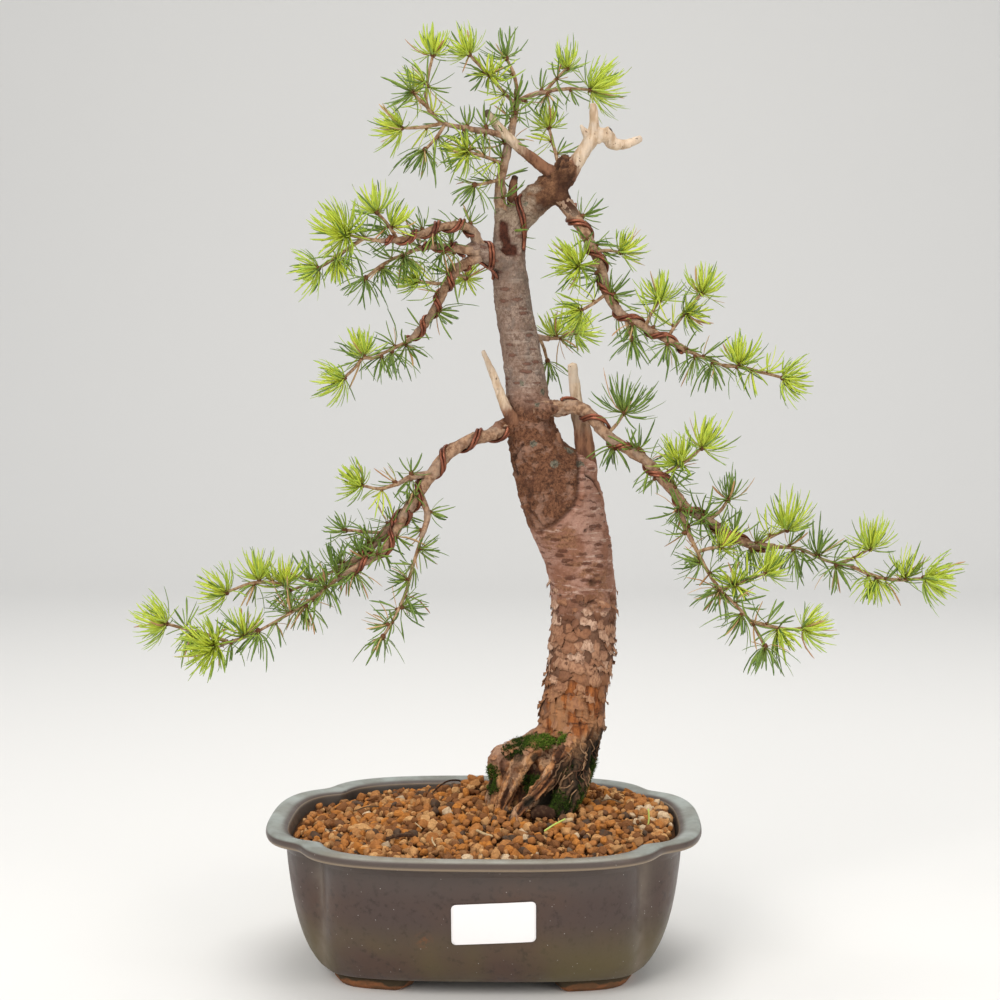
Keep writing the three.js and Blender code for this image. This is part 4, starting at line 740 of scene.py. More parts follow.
def trunk_bark():
    bark = Finish("trunk_bark", 0.85, 0.2)
    height, grain = bark.height(), bark.mark("grain")
    speckle = bark.patches(0.4, 0.62, 560, 8, (1, 1, 0.9), 0.85)
    blotch = bark.patches(0.38, 0.62, 60, 4)
    crease = bark.patches(0.56, 0.64, 150, 5, (0.35, 0.35, 2.4), 0.7)
    # Painted shade: the bark under the flakes is darkened across the flaky band, so the gaps between the
    # flakes look shadowed.
    flake_gap_shade = bark.times(bark.ease(height, 0.132, 0.15), bark.ease(height, 0.222, 0.2))
    cells = bark.cells(300, (0.36, 0.36, 1))
    torn = bark.times(bark.noise(620, 4, (1, 1, 1.4), 0.75), 0.7)
    oval = bark.ease(bark.plus(cells["Distance"], torn), 0.76, 0.6)
    lenticel = bark.times(oval, bark.ease(cells["Color"], 0.44, 0.5))
    rusty_patch = bark.times(bark.mark("rust"), bark.patches(0.42, 0.56, 160, 5, (0.7, 0.7, 1.3), 0.7))
    crumbs = bark.plus(bark.times(bark.mark("lichen"), 0.5), bark.noise(420, 6, (1, 1, 1), 0.85))
    fallen_bare = bark.coats(
        (0.41, 0.142, 0.042),
        ((0.17, 0.054, 0.02), bark.patches(0.36, 0.64, 420, 4, (1, 1, 0.16))),
        ((0.42, 0.235, 0.125), bark.patches(0.5, 0.58, 110, 4, (1, 1, 0.5)), 0.6),
        ((0.095, 0.036, 0.018), bark.patches(0.55, 0.6, 120, 4, (0.5, 0.5, 2.2), 0.7), 0.85),
    )
    under_flakes = bark.coats(
        (0.46, 0.275, 0.18),
        ((0.3, 0.15, 0.09), blotch),
        ((0.145, 0.062, 0.036), speckle, 0.55),
        ((0.1, 0.043, 0.024), flake_gap_shade, 0.75),
        (fallen_bare, bark.mark("bare")),
    )
    smooth_pink = bark.coats(
        (0.44, 0.255, 0.195),
        ((0.285, 0.132, 0.084), blotch),
        ((0.185, 0.08, 0.048), speckle, 0.35),
        ((0.62, 0.45, 0.37), crease, 0.6),
        ((0.165, 0.066, 0.04), bark.patches(0.54, 0.6, 190, 5, (0.4, 0.4, 1.9), 0.75), 0.7),
        (bark.coats((0.33, 0.165, 0.092), ((0.135, 0.056, 0.031), speckle)), rusty_patch),
        ((0.115, 0.044, 0.027), lenticel, 0.8),
    )
    callus = bark.coats(
        (0.225, 0.1, 0.052),
        ((0.065, 0.024, 0.013), speckle),
        ((0.36, 0.21, 0.15), bark.patches(0.5, 0.62, 95, 4, (1, 1, 1.3)), 0.55),
        ((0.085, 0.033, 0.019), bark.patches(0.52, 0.62, 80, 4, (1, 1, 0.8)), 0.55),
        ((0.04, 0.019, 0.012), bark.patches(0.54, 0.6, 240, 6, (1, 1, 1), 0.8), 0.7),
    )
    upper_grey = bark.coats(
        (0.39, 0.29, 0.235),
        ((0.135, 0.082, 0.06), speckle),
        ((0.155, 0.125, 0.108), bark.patches(0.5, 0.58, 130, 4, (1, 1, 0.8)), 0.55),
        ((0.44, 0.36, 0.3), crease, 0.6),
        ((0.2, 0.118, 0.082), blotch, 0.5),
        ((0.15, 0.06, 0.04), lenticel, 0.7),
    )
    brown_side = bark.coats(
        (0.235, 0.115, 0.058), ((0.085, 0.036, 0.019), speckle), ((0.06, 0.024, 0.013), blotch))
    top_limb = bark.coats(
        (0.36, 0.275, 0.205),
        ((0.165, 0.105, 0.068), speckle),
        (brown_side, bark.mark("brown")),
        ((0.03, 0.018, 0.012), bark.patches(0.66, 0.7, 900, 3)),
    )
    root = bark.coats(
        (0.034, 0.016, 0.01),
        ((0.33, 0.135, 0.05), bark.ease(grain, 0.3, 0.62)),
        ((0.58, 0.3, 0.135), bark.ease(grain, 0.5, 0.9)),
        ((0.58, 0.375, 0.235), bark.patches(0.52, 0.58, 130, 3, (1, 1, 0.6)), 0.6),
        ((0.08, 0.035, 0.02), bark.patches(0.49, 0.56, 120, 6, (1, 1, 0.7), 0.75), 0.7),
        ((0.15, 0.06, 0.028), speckle, 0.35),
    )
    # Dark at the foot of the trunk: partly damp earth, partly painted shade.
    wet_earth_and_shade = bark.coats(
        (0.125, 0.07, 0.038),
        ((0.022, 0.015, 0.009), speckle),
        ((0.016, 0.012, 0.007), bark.ease(grain, 0.7, 0.3)),
    )
    colour = bark.coats(
        under_flakes,
        (smooth_pink, bark.mark("smooth")),
        (callus, bark.mark("callus")),
        (upper_grey, bark.ease(height, *(z * MM for z in GREY_FROM))),
        (top_limb, bark.ease(height, *(z * MM for z in TOP_LIMB_FROM))),
        (bark.coats((0.215, 0.195, 0.145), ((0.04, 0.034, 0.024), speckle)), bark.ease(crumbs, 0.72, 0.78)),
        (root, bark.mark("root")),
        # Near black where the seam, cracks, knots and broken collar's crevices are sunk: partly dark scar
        # wood, partly painted shade in them.
        ((0.045, 0.02, 0.013), bark.mark("scar_and_crack_shade")),
        # The hollow is painted dark red-brown inside, as painted shade.
        (bark.coats((0.1, 0.032, 0.019), ((0.035, 0.013, 0.009), speckle)), bark.mark("hollow")),
        (wet_earth_and_shade, bark.mark("damp_and_shade")),
    )
    relief = bark.plus(bark.noise(620, 4, (1, 1, 0.8)), bark.times(lenticel, 0.5))
    return bark.done(colour, relief, 0.0008)


def along_roots(points):
    """Noise between -1 and 1 that runs along the nearest root, as its grain does."""
    nearest = np.full(len(points), np.inf)
    where = np.zeros((len(points), 3))
    for seed, root in enumerate(ROOTS):
        path, radii = lay_path(root, 1.5)
        _, side, up = path_frames(path)
        gaps = np.linalg.norm(points[:, None] - path[None], axis=2) - radii
        at = gaps.argmin(1)
        out = points - path[at]
        angle = np.arctan2((out * up[at]).sum(1), (out * side[at]).sum(1))
        own = np.stack([1.6 * np.cos(angle), 1.6 * np.sin(angle) + 5 * seed, at * 0.07], 1)
        closer = gaps.min(1) < nearest
        where[closer] = own[closer]
        nearest = np.minimum(nearest, gaps.min(1))
    return rough(where, 1.0, 4)


def trunk_piece():
    """Makes the trunk with its relief and marks, and gives its points and its surface."""
    limbs = [tube(TRUNK, 48, 2.0), *(tube(limb, 24, 1.5) for limb in ROOTS + BOSSES)]
    skin, normals, faces = remeshed(*join_bodies(limbs), TRUNK_VOXEL)
    front = BVHTree.FromPolygons(skin.tolist(), faces)
    x, _, z = skin.T
    smooth = smoothstep(z, *SMOOTH_FROM)
    over_seam = np.interp(z, SEAM_Z, SEAM_X) - x
    callus = smoothstep(over_seam, -1.0, 1.5) * smoothstep(z, *CALLUS_FROM)
    callus *= 1 - smoothstep(z, *CALLUS_TO)
    seam = np.minimum(distance_to_line(skin, SEAM, front), distance_to_line(skin, GROOVE, front) + 0.5)
    crack = np.min([distance_to_line(skin, line, front) for line in CRACKS], axis=0)
    hollow = distance_to_line(skin, HOLLOW, front)
    knot = near_marks(skin, KNOTS, front)
    wave = rough(skin * np.array([1, 1, 1.8]), 7, 3, 5.0)
    lump = rough(skin, 24, 2, 9.0)
    gnarl = rough(skin, 4.5, 2, 3.0)
    fibres = rough(skin * np.array([1, 1, 0.2]), 2.6, 2, 7.0)
    scales = rough(skin * np.array([1, 1, 1.6]), 3.2, 2, 1.0)
    top = smoothstep(z, *TOP_ROUGH_FROM)
    crag = smoothstep(near_places(skin, COLLAR), 0, 0.45)
    splinter = rough(skin * np.array([1, 1, 0.7]), 3.4, 3, 21.0)
    bare = smoothstep(near_marks(skin, BARE_PLACES, front), 0.0, 0.3)

    # Relief in mm: lumps and waves all over, then seam, cracks, hollow, knots, fallen plates and roots.
    grow = 0.9 * lump + wave * (0.55 + 0.35 * callus - 0.3 * smoothstep(z, *CALM_FROM) + 0.5 * top)
    grow += gnarl * (0.3 + 0.8 * callus + 0.9 * top) + 0.35 * fibres * (1 - smooth) + 0.3 * scales * smooth
    grow += 1.0 * np.exp(-((seam - 3.2) / 1.5) ** 2) - 1.2 * (1 - smoothstep(seam, 0.4, 2.0))
    grow -= 1.2 * (1 - smoothstep(crack, 0.3, 1.6))
    grow -= 2.4 * (1 - smoothstep(hollow, 2.2, 4.6))
    grow += 1.1 * np.sin(knot * math.pi) - 1.3 * smoothstep(knot, 0.5, 0.9)
    grow += bare * (0.9 * fibres - 1.0) + crag * (2.3 * splinter - 0.4)
    root = 1 - smoothstep(z - 0.25 * (x - 20) + 3 * wave, *ROOTS_TO)
    low = root > 0
    grain = np.zeros(len(skin))
    grain[low] = along_roots(skin[low])
    grow += root * (1.5 * grain - 1.6 * smoothstep(-grain, 0.12, 0.4) + 0.7 * rough(skin, 3.4, 3, 15.0))
    points = skin + normals * (grow - 0.5)[:, None]

    marks = {
        "smooth": smoothstep(z + 6 * wave, *PINK_FROM),
        "callus": callus,
        "bare": bare,
        "brown": smoothstep(x + 5 * wave + 3 * gnarl, *BROWN_SIDE_X) * smoothstep(z, *BROWN_SIDE_FROM),
        # Sunk seam, cracks, knot holes and collar crevices: partly scar, partly painted shade.
        "scar_and_crack_shade": np.clip((1 - smoothstep(seam, 0.3, 1.6)) * 0.55 + 1 - smoothstep(crack, 0.2, 1.5)
                        + 0.75 * smoothstep(knot + 0.2 * gnarl, 0.45, 0.9)
                        + 0.85 * crag * smoothstep(-splinter, -0.05, 0.3), 0, 1),
        # Painted shade inside the hollow.
        "hollow": 1 - smoothstep(hollow + gnarl, 2.6, 4.0),
        "rust": smoothstep(near_marks(skin, RUST_PLACES, front) + 0.25 * wave, 0.1, 0.5),
        "lichen": near_marks(skin, LICHEN, front),
        "root": root * (1 - 0.8 * smoothstep(near_places(skin, KNOB), 0.05, 0.4)),
        "grain": np.clip(0.5 + 0.8 * grain, 0, 1),
        "damp_and_shade": damp_and_shade_share(skin, front),
    }
    make_piece("trunk_wood", points, faces, [trunk_bark()], "bark", ["trunk"], marks=marks)
    return points, BVHTree.FromPolygons(points.tolist(), faces)


trunk_points, trunk_surface = trunk_piece()

# Bark flakes: thin papery scales of old bark, loose at their lower edges and lapped like
# shingles over the lower trunk above the roots. Where they fell off, the bark is bare orange.
FLAKE_SPACING = 5.8
FLAKES_THIN_FROM = 198
FLAKES_FROM = 126
FLAKE_TOP = 236
FLAKE_ACROSS = np.linspace(-1, 1, 7)
FLAKE_DOWN = np.array([0, 0.3, 0.55, 0.8, 1.0])
FLAKE_THICKNESS = 0.22
FLAKE_HALF_WIDTH, FLAKE_LENGTH = (2.6, 7.0), (6.0, 13.5)
SMALL_FLAKES_FROM = 205
DOWN_THE_TRUNK = np.array([-0.12, -0.05, -1.0])


def flake_bark():
    bark = Finish("flake_bark", 0.85, 0.2)
    tone = bark.mark("tone")
    colour = bark.coats(
        (0.64, 0.43, 0.31),
        ((0.47, 0.26, 0.158), bark.ease(tone, 0.05, 0.4)),
        ((0.32, 0.15, 0.08), bark.ease(tone, 0.5, 0.8)),
        ((0.15, 0.065, 0.036), bark.ease(tone, 0.86, 0.92)),
        ((0.42, 0.19, 0.075), bark.ease(bark.height(), 0.185, 0.15), 0.6),
        ((0.135, 0.055, 0.028), bark.ease(bark.mark("down"), 0.55, 0.0), 0.9),
        ((0.33, 0.165, 0.098), bark.patches(0.4, 0.62, 150, 4), 0.5),
        ((0.19, 0.082, 0.046), bark.patches(0.46, 0.6, 640, 4, (1, 1, 0.7)), 0.55),
        # Dark at the foot: partly damp earth, partly painted shade, as on the trunk.
        ((0.065, 0.04, 0.022), bark.mark("damp_and_shade")),
    )
    return bark.done(colour, bark.noise(700, 4, (1, 1, 0.6)), 0.0005)


def flake_share(points):
    """Chance that a place carries a flake."""
    z = points[:, 2]
    share = (1 - smoothstep(z, FLAKES_THIN_FROM, FLAKE_TOP)) ** 4
    share *= 1 - 0.9945 * smoothstep(near_marks(points, BARE_PLACES, trunk_surface), 0.0, 0.15)
    return np.where(z - 0.25 * (points[:, 0] - 20) > FLAKES_FROM, share, 0)


def flake(middle, random):
    """Points of one flake's two faces, laid on the bark, with how far down each one lies."""
    _, normal = bark_at(trunk_surface, middle)
    down = DOWN_THE_TRUNK + random.normal(0, 0.14, 3)
    down -= normal * down.dot(normal)
    down /= np.linalg.norm(down)
    across = np.cross(normal, down)
    small = 0.7 if middle[2] > SMALL_FLAKES_FROM else 1.0
    half, drop = random.uniform(*FLAKE_HALF_WIDTH) * small, random.uniform(*FLAKE_LENGTH) * small
    lift, curl, skew = random.uniform(0.15, 0.9), random.uniform(0, 1.25) ** 3, random.uniform(-0.3, 0.3)
    widths, corner = random.uniform(0.72, 1.15, len(FLAKE_DOWN)), random.uniform(0, 0.14)
    lower, upper = [], []
    for v, width in zip(FLAKE_DOWN, widths):
        for u in FLAKE_ACROSS:
            ragged = random.normal(0, 0.45) if abs(u) == 1 else 0
            sideways = half * u * width + ragged + skew * drop * v
            downwards = drop * (v * (1 - corner * u**4) - 0.4) + (random.normal(0, 1.0) if v == 1 else 0)
            near, up = bark_at(trunk_surface, middle + across * sideways + down * downwards)
            rise = -0.5 + (0.5 + lift) * v**1.2 + curl * max(0, v - 0.5) ** 2 * 4 - 0.2 * abs(u) ** 3
            lower.append(near + up * rise)
            upper.append(near + up * (rise + FLAKE_THICKNESS))
    return np.array(lower + upper), np.tile(np.repeat(FLAKE_DOWN, len(FLAKE_ACROSS)), 2)


def flakes():
    random = np.random.default_rng(5)
    share = flake_share(trunk_points)
    places, taken = [], {}
    for k in random.permutation(len(trunk_points)):
        if random.random() > share[k]:
            continue
        middle = trunk_points[k]
        cell = (middle // FLAKE_SPACING).astype(int)
        around = itertools.product(*((c - 1, c, c + 1) for c in cell))
        if all(np.linalg.norm(middle - taken[c]) > FLAKE_SPACING for c in around if c in taken):
            taken[tuple(cell)] = middle
            places.append(middle)
    template = sheet_faces(len(FLAKE_DOWN), len(FLAKE_ACROSS))
    bodies, tones, downs = [], [], []
    for middle in places:
        own, down = flake(middle, random)
        bodies.append((own, template))
        tones.append(np.full(len(own), random.random()))
        downs.append(down)
    points, faces = join_bodies(bodies)
    marks = {"tone": np.concatenate(tones), "down": np.concatenate(downs)}
    marks["damp_and_shade"] = damp_and_shade_share(points, trunk_surface)
    make_piece("bark_flakes", points, faces, [flake_bark()], "bark", marks=marks)


flakes()

# Rootlets: thin dry roots that hang down the dark side between the larger roots and
# run into the soil. That side is painted dark, partly damp earth and partly painted shade.
ROOTLET_COUNT = 40
ROOTLET_X, ROOTLET_Z = (40, 70), (104, 131)
ROOTLET_STEP = 2.4


def rootlets():
    random = np.random.default_rng(31)
    bodies, tones = [], []
    for _ in range(ROOTLET_COUNT):
        z = random.uniform(*ROOTLET_Z)
        place = on_front(trunk_surface, random.uniform(*ROOTLET_X) + 0.25 * (z - ROOTLET_Z[0]) - 4, z)
        heading = np.array([random.normal(-0.2, 0.5), -0.1, -1.0])
        stations = []
        for _ in range(random.integers(5, 12)):
            near, normal = bark_at(trunk_surface, place)
            stations.append((*(near + normal * random.uniform(0.1, 1.5)), random.uniform(0.22, 0.5)))
            heading += random.normal(0, 0.35, 3) * np.array([1, 0.6, 0.4])
            place = near + heading / np.linalg.norm(heading) * ROOTLET_STEP
        bodies.append(tube(stations, 6, 0.9))
        tones.append(np.full(len(bodies[-1][0]), random.random() ** 1.6))
    dry = Finish("dry_rootlets", 0.85, 0.2)
    skin = dry.done(dry.coats((0.06, 0.026, 0.015), ((0.42, 0.255, 0.14), dry.mark("tone"))))
    marks = {"tone": np.concatenate(tones)}
    make_piece("trunk_rootlets", *join_bodies(bodies), [skin], "bark", marks=marks)


rootlets()

# Moss: cushions of short green shoots on the roots, bright on the ridge and dark in the
# shade, grown straight on the bark. Each place has a middle, a radius and a brightness.
MOSS_PLACES = [
    ((29, 11, 129.5), 7, 0.55), ((37, 9, 131.5), 7, 0.95), ((44, 8, 133), 6, 0.9), ((21, 12, 126), 8, 0.1),
    ((14, 11, 123), 5, 0.1), ((4, 8, 111), 6, 0.5), ((5, 6, 102), 5, 0.35), ((29, 2, 106), 8, 0.25),
    ((25, -4, 98), 7, 0.25), ((45, -8, 97), 8, 0.2), ((41, -12, 92), 5, 0.3), ((54, 2, 102), 9, 0.2),
    ((62, 12, 106), 9, 0.25), ((60, 18, 114), 7, 0.1), ((50, 4, 112), 7, 0.1), ((66, 24, 112), 7, 0.2),
    ((56, -2, 94), 8, 0.3),
]
MOSS_SHOOT = 2.4
SHOOTS_PER_POINT = 8


def moss_green():
    moss = Finish("moss_green", 0.9, 0.1)
    return moss.done(moss.coats(
        (0.02, 0.044, 0.008),
        ((0.17, 0.285, 0.03), moss.mark("tone")),
        ((0.02, 0.022, 0.008), moss.ease(moss.mark("down"), 1.0, 0.0)),
    ))


def moss():
    random = np.random.default_rng(17)
    points, faces, tones = [], [], []
    for middle, radius, brightness in MOSS_PLACES:
        distance = np.linalg.norm(trunk_points - np.array(middle), axis=1)
        here = np.where(distance < radius)[0]
        for k in here[random.random(len(here)) < 0.9 * (1 - (distance[here] / radius) ** 3)]:
            root = trunk_points[k]
            _, normal = bark_at(trunk_surface, root)
            for _ in range(SHOOTS_PER_POINT):
                way = normal + np.array([0, 0, 0.4]) + random.normal(0, 0.55, 3)
                way /= np.linalg.norm(way)
                side = np.cross(way, random.normal(0, 1, 3))
                side *= random.uniform(0.16, 0.28) / np.linalg.norm(side)
                other = np.cross(way, side)
                foot = root + random.normal(0, 0.45, 3) - normal * 0.3
                tip = foot + way * MOSS_SHOOT * random.uniform(0.6, 1.15)
                a, b, c, d = range(4 * len(points), 4 * len(points) + 4)
                base = foot - side / 2
                points.append(np.array([foot + side, base + other, base - other, tip]))
                faces += [(a, c, b), (a, b, d), (b, c, d), (c, a, d)]
                tones.append(np.full(4, np.clip(brightness + random.normal(0, 0.16), 0, 1)))
    make_piece("root_moss", np.vstack(points), faces, [moss_green()], "needles_mature", marks={
        "tone": np.concatenate(tones), "down": np.tile([0, 0, 0, 1.0], len(points))})


moss()

# Dead wood: the forked horn where the top was broken out, the old leader's stub across
# it, a short red-brown stub and two split blades, bleached and weathered along the grain.
DEADWOOD = {
    "horn": [[(48, 20, 470, 7), (54, 19, 477, 4.6), (60, 19, 486, 4.2), (65, 19, 492.5, 4.5),
        (72.2, 19, 492.3, 4.2), (75.2, 20.5, 488.4, 3.8), (83.7, 22.5, 488.0, 2.8), (92.6, 25, 491.8, 1.8)],
        [(66, 19, 491, 3.6), (71, 18, 493.6, 3.1), (74.2, 17, 495.6, 2.9)], [(62, 19, 490, 3.4),
        (59, 18, 495, 2.0), (56.6, 17, 498.6, 0.7)], [(64, 19, 492, 4.0), (64.5, 18, 500, 2.8),
        (64.2, 17, 506, 2.6), (63.5, 16, 511, 2.2)]],
    "crossing_stub": [[(42, 20, 469, 5.5), (36, 17, 473, 3.9), (25, 11.5, 481, 3.1), (16, 7, 488.5, 2.9),
        (6.4, 5, 498.7, 2.5), (1, 4.5, 505, 2.3)]],
    "short_stub": [[(19, 20, 446, 4.5), (16, 18, 456, 3.4), (16.6, 18, 462, 2.8), (17.7, 18, 469, 1.9)]],
    "left_blade": [[(19, 23, 320, 6), (13.5, 16, 329, 3.5), (8.6, 16, 341, 2.8), (3.5, 16, 354, 2.3),
        (-1.6, 16, 365.5, 1.5)]],
    "split_stub": [[(56, 32, 283, 9), (60, 31, 290, 7.6), (60.4, 30, 302, 6.2), (58.8, 30, 316, 5.6),
        (55.8, 30, 328, 4.4), (54.2, 30, 340, 3.6), (52.2, 30, 357.5, 2.9)], [(58, 29, 284, 5),
        (51, 25, 296, 3.2), (46, 24, 306, 2.2), (43.5, 24, 316, 1.6)]],
}
# How deep each split blade is front to back, as a share of its width.
BLADES = {"left_blade": 0.55, "split_stub": 0.6}
# Where each bleached piece is still brown: up to this share of its length, faded by twice it.
BROWN_SHARE = {
    "horn": 0.10, "crossing_stub": 0.34, "short_stub": 0.9, "left_blade": 0.2, "split_stub": 0.38,
}
BROKEN_STUBS = ("crossing_stub", "short_stub")
# The knothole in the horn is painted as a dark disc, painted shade for the hole: its middle and radius.
HORN_KNOTHOLE = ((75.4, 16.4, 496.8), 3.4)
DEADWOOD_VOXEL = 0.5


def dead_wood():
    wood = Finish("dead_wood", 0.8, 0.2)
    streak = wood.patches(0.36, 0.66, 300, 4, (1, 1, 0.25))
    colour = wood.coats(
        (0.66, 0.52, 0.39),
        ((0.43, 0.3, 0.195), streak),
        ((0.5, 0.44, 0.38), wood.patches(0.45, 0.62, 70, 3), 0.45),
        ((0.085, 0.05, 0.03), wood.patches(0.64, 0.68, 420, 3), 0.8),
        (wood.coats((0.26, 0.125, 0.07), ((0.115, 0.05, 0.03), streak)), wood.mark("base")),
        ((0.03, 0.016, 0.011), wood.mark("dark")),
    )
    return wood.done(colour, wood.noise(420, 4, (1, 1, 0.25)), 0.0006)


def flattened(share):
    """Swell that narrows a body front to back to a share of its width."""
    def swell(path, angles):
        narrowed = 1 / np.hypot(np.cos(angles) / share, np.sin(angles)) - 1
        return np.broadcast_to(narrowed, (len(path), len(angles)))
    return swell


def deadwood_pieces():
    wood = dead_wood()
    for name, limbs in DEADWOOD.items():
        swell = flattened(BLADES[name]) if name in BLADES else None
        bodies = [tube(limb, 20, 0.9, swell, 0.35) for limb in limbs]
        skin, normals, faces = remeshed(*join_bodies(bodies), DEADWOOD_VOXEL)
        grain = rough(skin * np.array([1, 1, 0.3]), 2.2, 3, 4.0)
        points = skin + normals * (0.3 * grain + 0.35 * rough(skin, 7, 2, 2.0))[:, None]
        start, end = np.array(limbs[0][0][:3]), np.array(limbs[0][-1][:3])
        far = (skin - start) @ (end - start) / np.dot(end - start, end - start) + 0.06 * grain
        brown = BROWN_SHARE[name]
        dark = smoothstep(-grain, 0.55, 0.8) * 0.5
        if name == "horn":
            # Painted shade: the knothole is a dark disc on the wood, not a cut hole.
            dark = np.maximum(dark, near_places(skin, [HORN_KNOTHOLE]) > 0.3)
        if name in BROKEN_STUBS:
            dark = np.maximum(dark, smoothstep(near_places(skin, [(end, 5)]), 0.2, 0.5) * 0.85)
        make_piece(f"deadwood_{name}", points, faces, [wood], "bark", marks={
            "base": 1 - smoothstep(far, brown, 2 * brown), "dark": dark})


deadwood_pieces()

# Branches: living wood with thin scaly bark, knobbly with the spurs of past years, bent
# down and outwards by the wires.
BRANCHES = {
    "lower_left": [(24, 28, 321, 6), (13, 22, 319, 4.4), (2, 12, 315, 3.8), (-10, 4, 312, 3.6),
        (-24, -2, 302, 3.6), (-35, -8, 287, 3.6), (-48, -14, 268, 3.2), (-58, -16, 259, 2.8),
        (-71, -20, 246, 2.4), (-84, -22, 239, 1.9)],
    "lower_left_fork": [(-44, -13, 274, 2.8), (-50, -20, 262, 2.6), (-59, -29, 249, 2.3),
        (-71, -34, 242, 2), (-84, -36, 234, 1.7)],
    "lower_left_hanger": [(-38, -10, 281, 2.2), (-33, -13, 270, 1.9), (-36, -19, 257, 1.5)],
    "lower_left_side": [(-31, -5, 293, 2.4), (-42, -14, 292, 1.8), (-50, -23, 288, 1.3)],
    "lower_right": [(30, 22, 331, 5.4), (44, 19, 331, 4.8), (54, 15, 332, 4.2), (64, 8, 326, 3.8),
        (72, 0, 316, 3.4), (84, -6, 308, 3.2), (95, -12, 301, 3), (103, -16, 292, 3), (112, -20, 282, 2.9),
        (120, -22, 273, 2.8), (131, -24, 267, 2.6), (143, -26, 259, 2.4), (155, -28, 254, 2.2),
        (168, -30, 253, 1.9)],
    "lower_right_drop": [(113, -20, 281, 2.2), (115, -29, 269, 1.9), (120, -37, 257, 1.5)],
    "upper_right": [(40, 20, 463, 5), (50, 15, 449, 4.2), (57, 10, 438, 3.4), (63, 5, 427, 3),
        (69, 1, 413, 2.8), (72, -1, 399, 2.7), (79, -5, 388, 2.6), (92, -9, 380, 2.4), (106, -14, 372, 2.1),
        (119, -18, 365, 1.7)],
    "back": [(18, 28, 378, 3.4), (26, 42, 375, 2.2), (38, 52, 373, 1.6)],
    "upper_left_front": [(-3, 8, 427, 3.6), (-9, -2, 437, 2.6), (-24, -14, 437, 2.2), (-38, -26, 431, 2),
        (-48, -35, 428, 1.7), (-57, -43, 427, 1.4)],
    "upper_left_back": [(-4, 4, 424, 3.4), (-16, -2, 425, 2.4), (-28, -10, 426, 1.9), (-38, -17, 424, 1.5)],
    "middle_left": [(-3, 6, 421, 3.6), (-14, 4, 415, 2.9), (-22, 6, 405, 2.6), (-28, 8, 393, 2.4),
        (-36, 6, 380, 2.1), (-45, 2, 371, 1.8)],
    "leader": [(13, 27, 424, 4.5), (11, 21, 434, 4.3), (10, 15.5, 444, 4.0), (9, 13, 454, 3.6),
        (9, 13, 464, 3), (14, 12, 486, 2.4), (18, 13, 507, 1.9), (19, 14, 519, 1.7)],
    "apex_right": [(18, 13, 511, 1.7), (27, 16, 516, 1.5), (42, 21, 520, 1.2)],
    "apex_left": [(15, 12, 490, 2), (3, 1, 493, 1.7), (-10, -6, 494, 1.5), (-24, -13, 496, 1.2)],
}


def branch_bark():
    bark = Finish("branch_bark", 0.8, 0.3)
    colour = bark.coats(
        (0.175, 0.088, 0.048),
        ((0.44, 0.27, 0.168), bark.patches(0.35, 0.66, 330, 5)),
        ((0.39, 0.3, 0.235), bark.patches(0.48, 0.62, 60, 3), 0.4),
    )
    return bark.done(colour, bark.noise(700, 5), 0.0007)


def spurred(seed):
    """Swell with small knobs, as old spurs leave on a twig or branch."""
    def swell(path, angles):
        around = 1.2 * np.stack([np.cos(angles), np.sin(angles)], 1)
        along = 0.16 * np.cumsum(np.linalg.norm(np.diff(path, axis=0, prepend=path[:1]), axis=1)) + seed
        values = [[noise.fractal(Vector((*a, s)), 1.0, 2.2, 3) for a in around] for s in along]
        knobs = np.clip(np.array(values), -0.5, 1)
        return 0.16 * knobs + 0.28 * np.clip(knobs - 0.25, 0, 1)
    return swell


def branch_pieces():
    bark = branch_bark()
    for seed, (name, stations) in enumerate(BRANCHES.items()):
        points, faces = tube(stations, 14, 0.9, spurred(3.1 * seed))
        make_piece(f"branch_{name}", points, faces, [bark], "bark")


branch_pieces()

# Wires: pairs of thin annealed copper wires, wound side by side round the branches to
# bend them, and anchored round the trunk and its bosses. They have gone red-brown.
WIRE_RADIUS = 0.95
WIRE_SHIFT = 2.5
WIRE_STEP = 0.8
# Each winding: branch, from and to shares of its length, pitch, and the share of a turn it starts at.
WINDINGS = {
    "wire_lower_left": [("lower_left", 0.11, 0.99, 24, 0.6), ("lower_left_fork", 0.05, 0.95, 22, 0.0)],
    "wire_lower_right": [("lower_right", 0.10, 0.97, 27, 0.4)],
    "wire_upper_right": [("upper_right", 0.12, 0.98, 22, 0.3)],
    "wire_middle_left": [("middle_left", 0.12, 0.98, 17, 0.2)],
    "wire_upper_left": [("upper_left_front", 0.14, 0.98, 17, 0.5), ("upper_left_back", 0.2, 0.95, 17, 0.1)],
}
# Where strands pass over the trunk and its bosses, as (x, z) on their front.
LOOPS = {
    "wire_upper_right": [
        [(18.5, 459), (19.6, 455), (20.4, 450), (22.6, 441.5), (26.2, 432.1), (27.5, 426)],
    ],
    "wire_upper_left": [
        [(-2.6, 435.2), (1.5, 430.6), (3.8, 423.5), (3.8, 415.3), (-0.3, 411.2)],
        [(-16.8, 425.3), (-13.9, 417.7), (-10.9, 411.8)],
    ],
    "wire_middle_left": [
        [(-5.6, 405.4), (-0.5, 407.3), (4.4, 408.3)],
        [(-7.4, 415.9), (-3.2, 413.9), (0.9, 411.2)],
    ],
}


def wire_copper():
    copper = Finish("wire_copper", 0.38)
    copper.shader.inputs["Metallic"].default_value = 0.75
    colour = copper.coats((0.3, 0.105, 0.06), ((0.105, 0.034, 0.021), copper.patches(0.38, 0.68, 130, 4)))
    return copper.done(colour, copper.noise(600, 3), 0.0001)


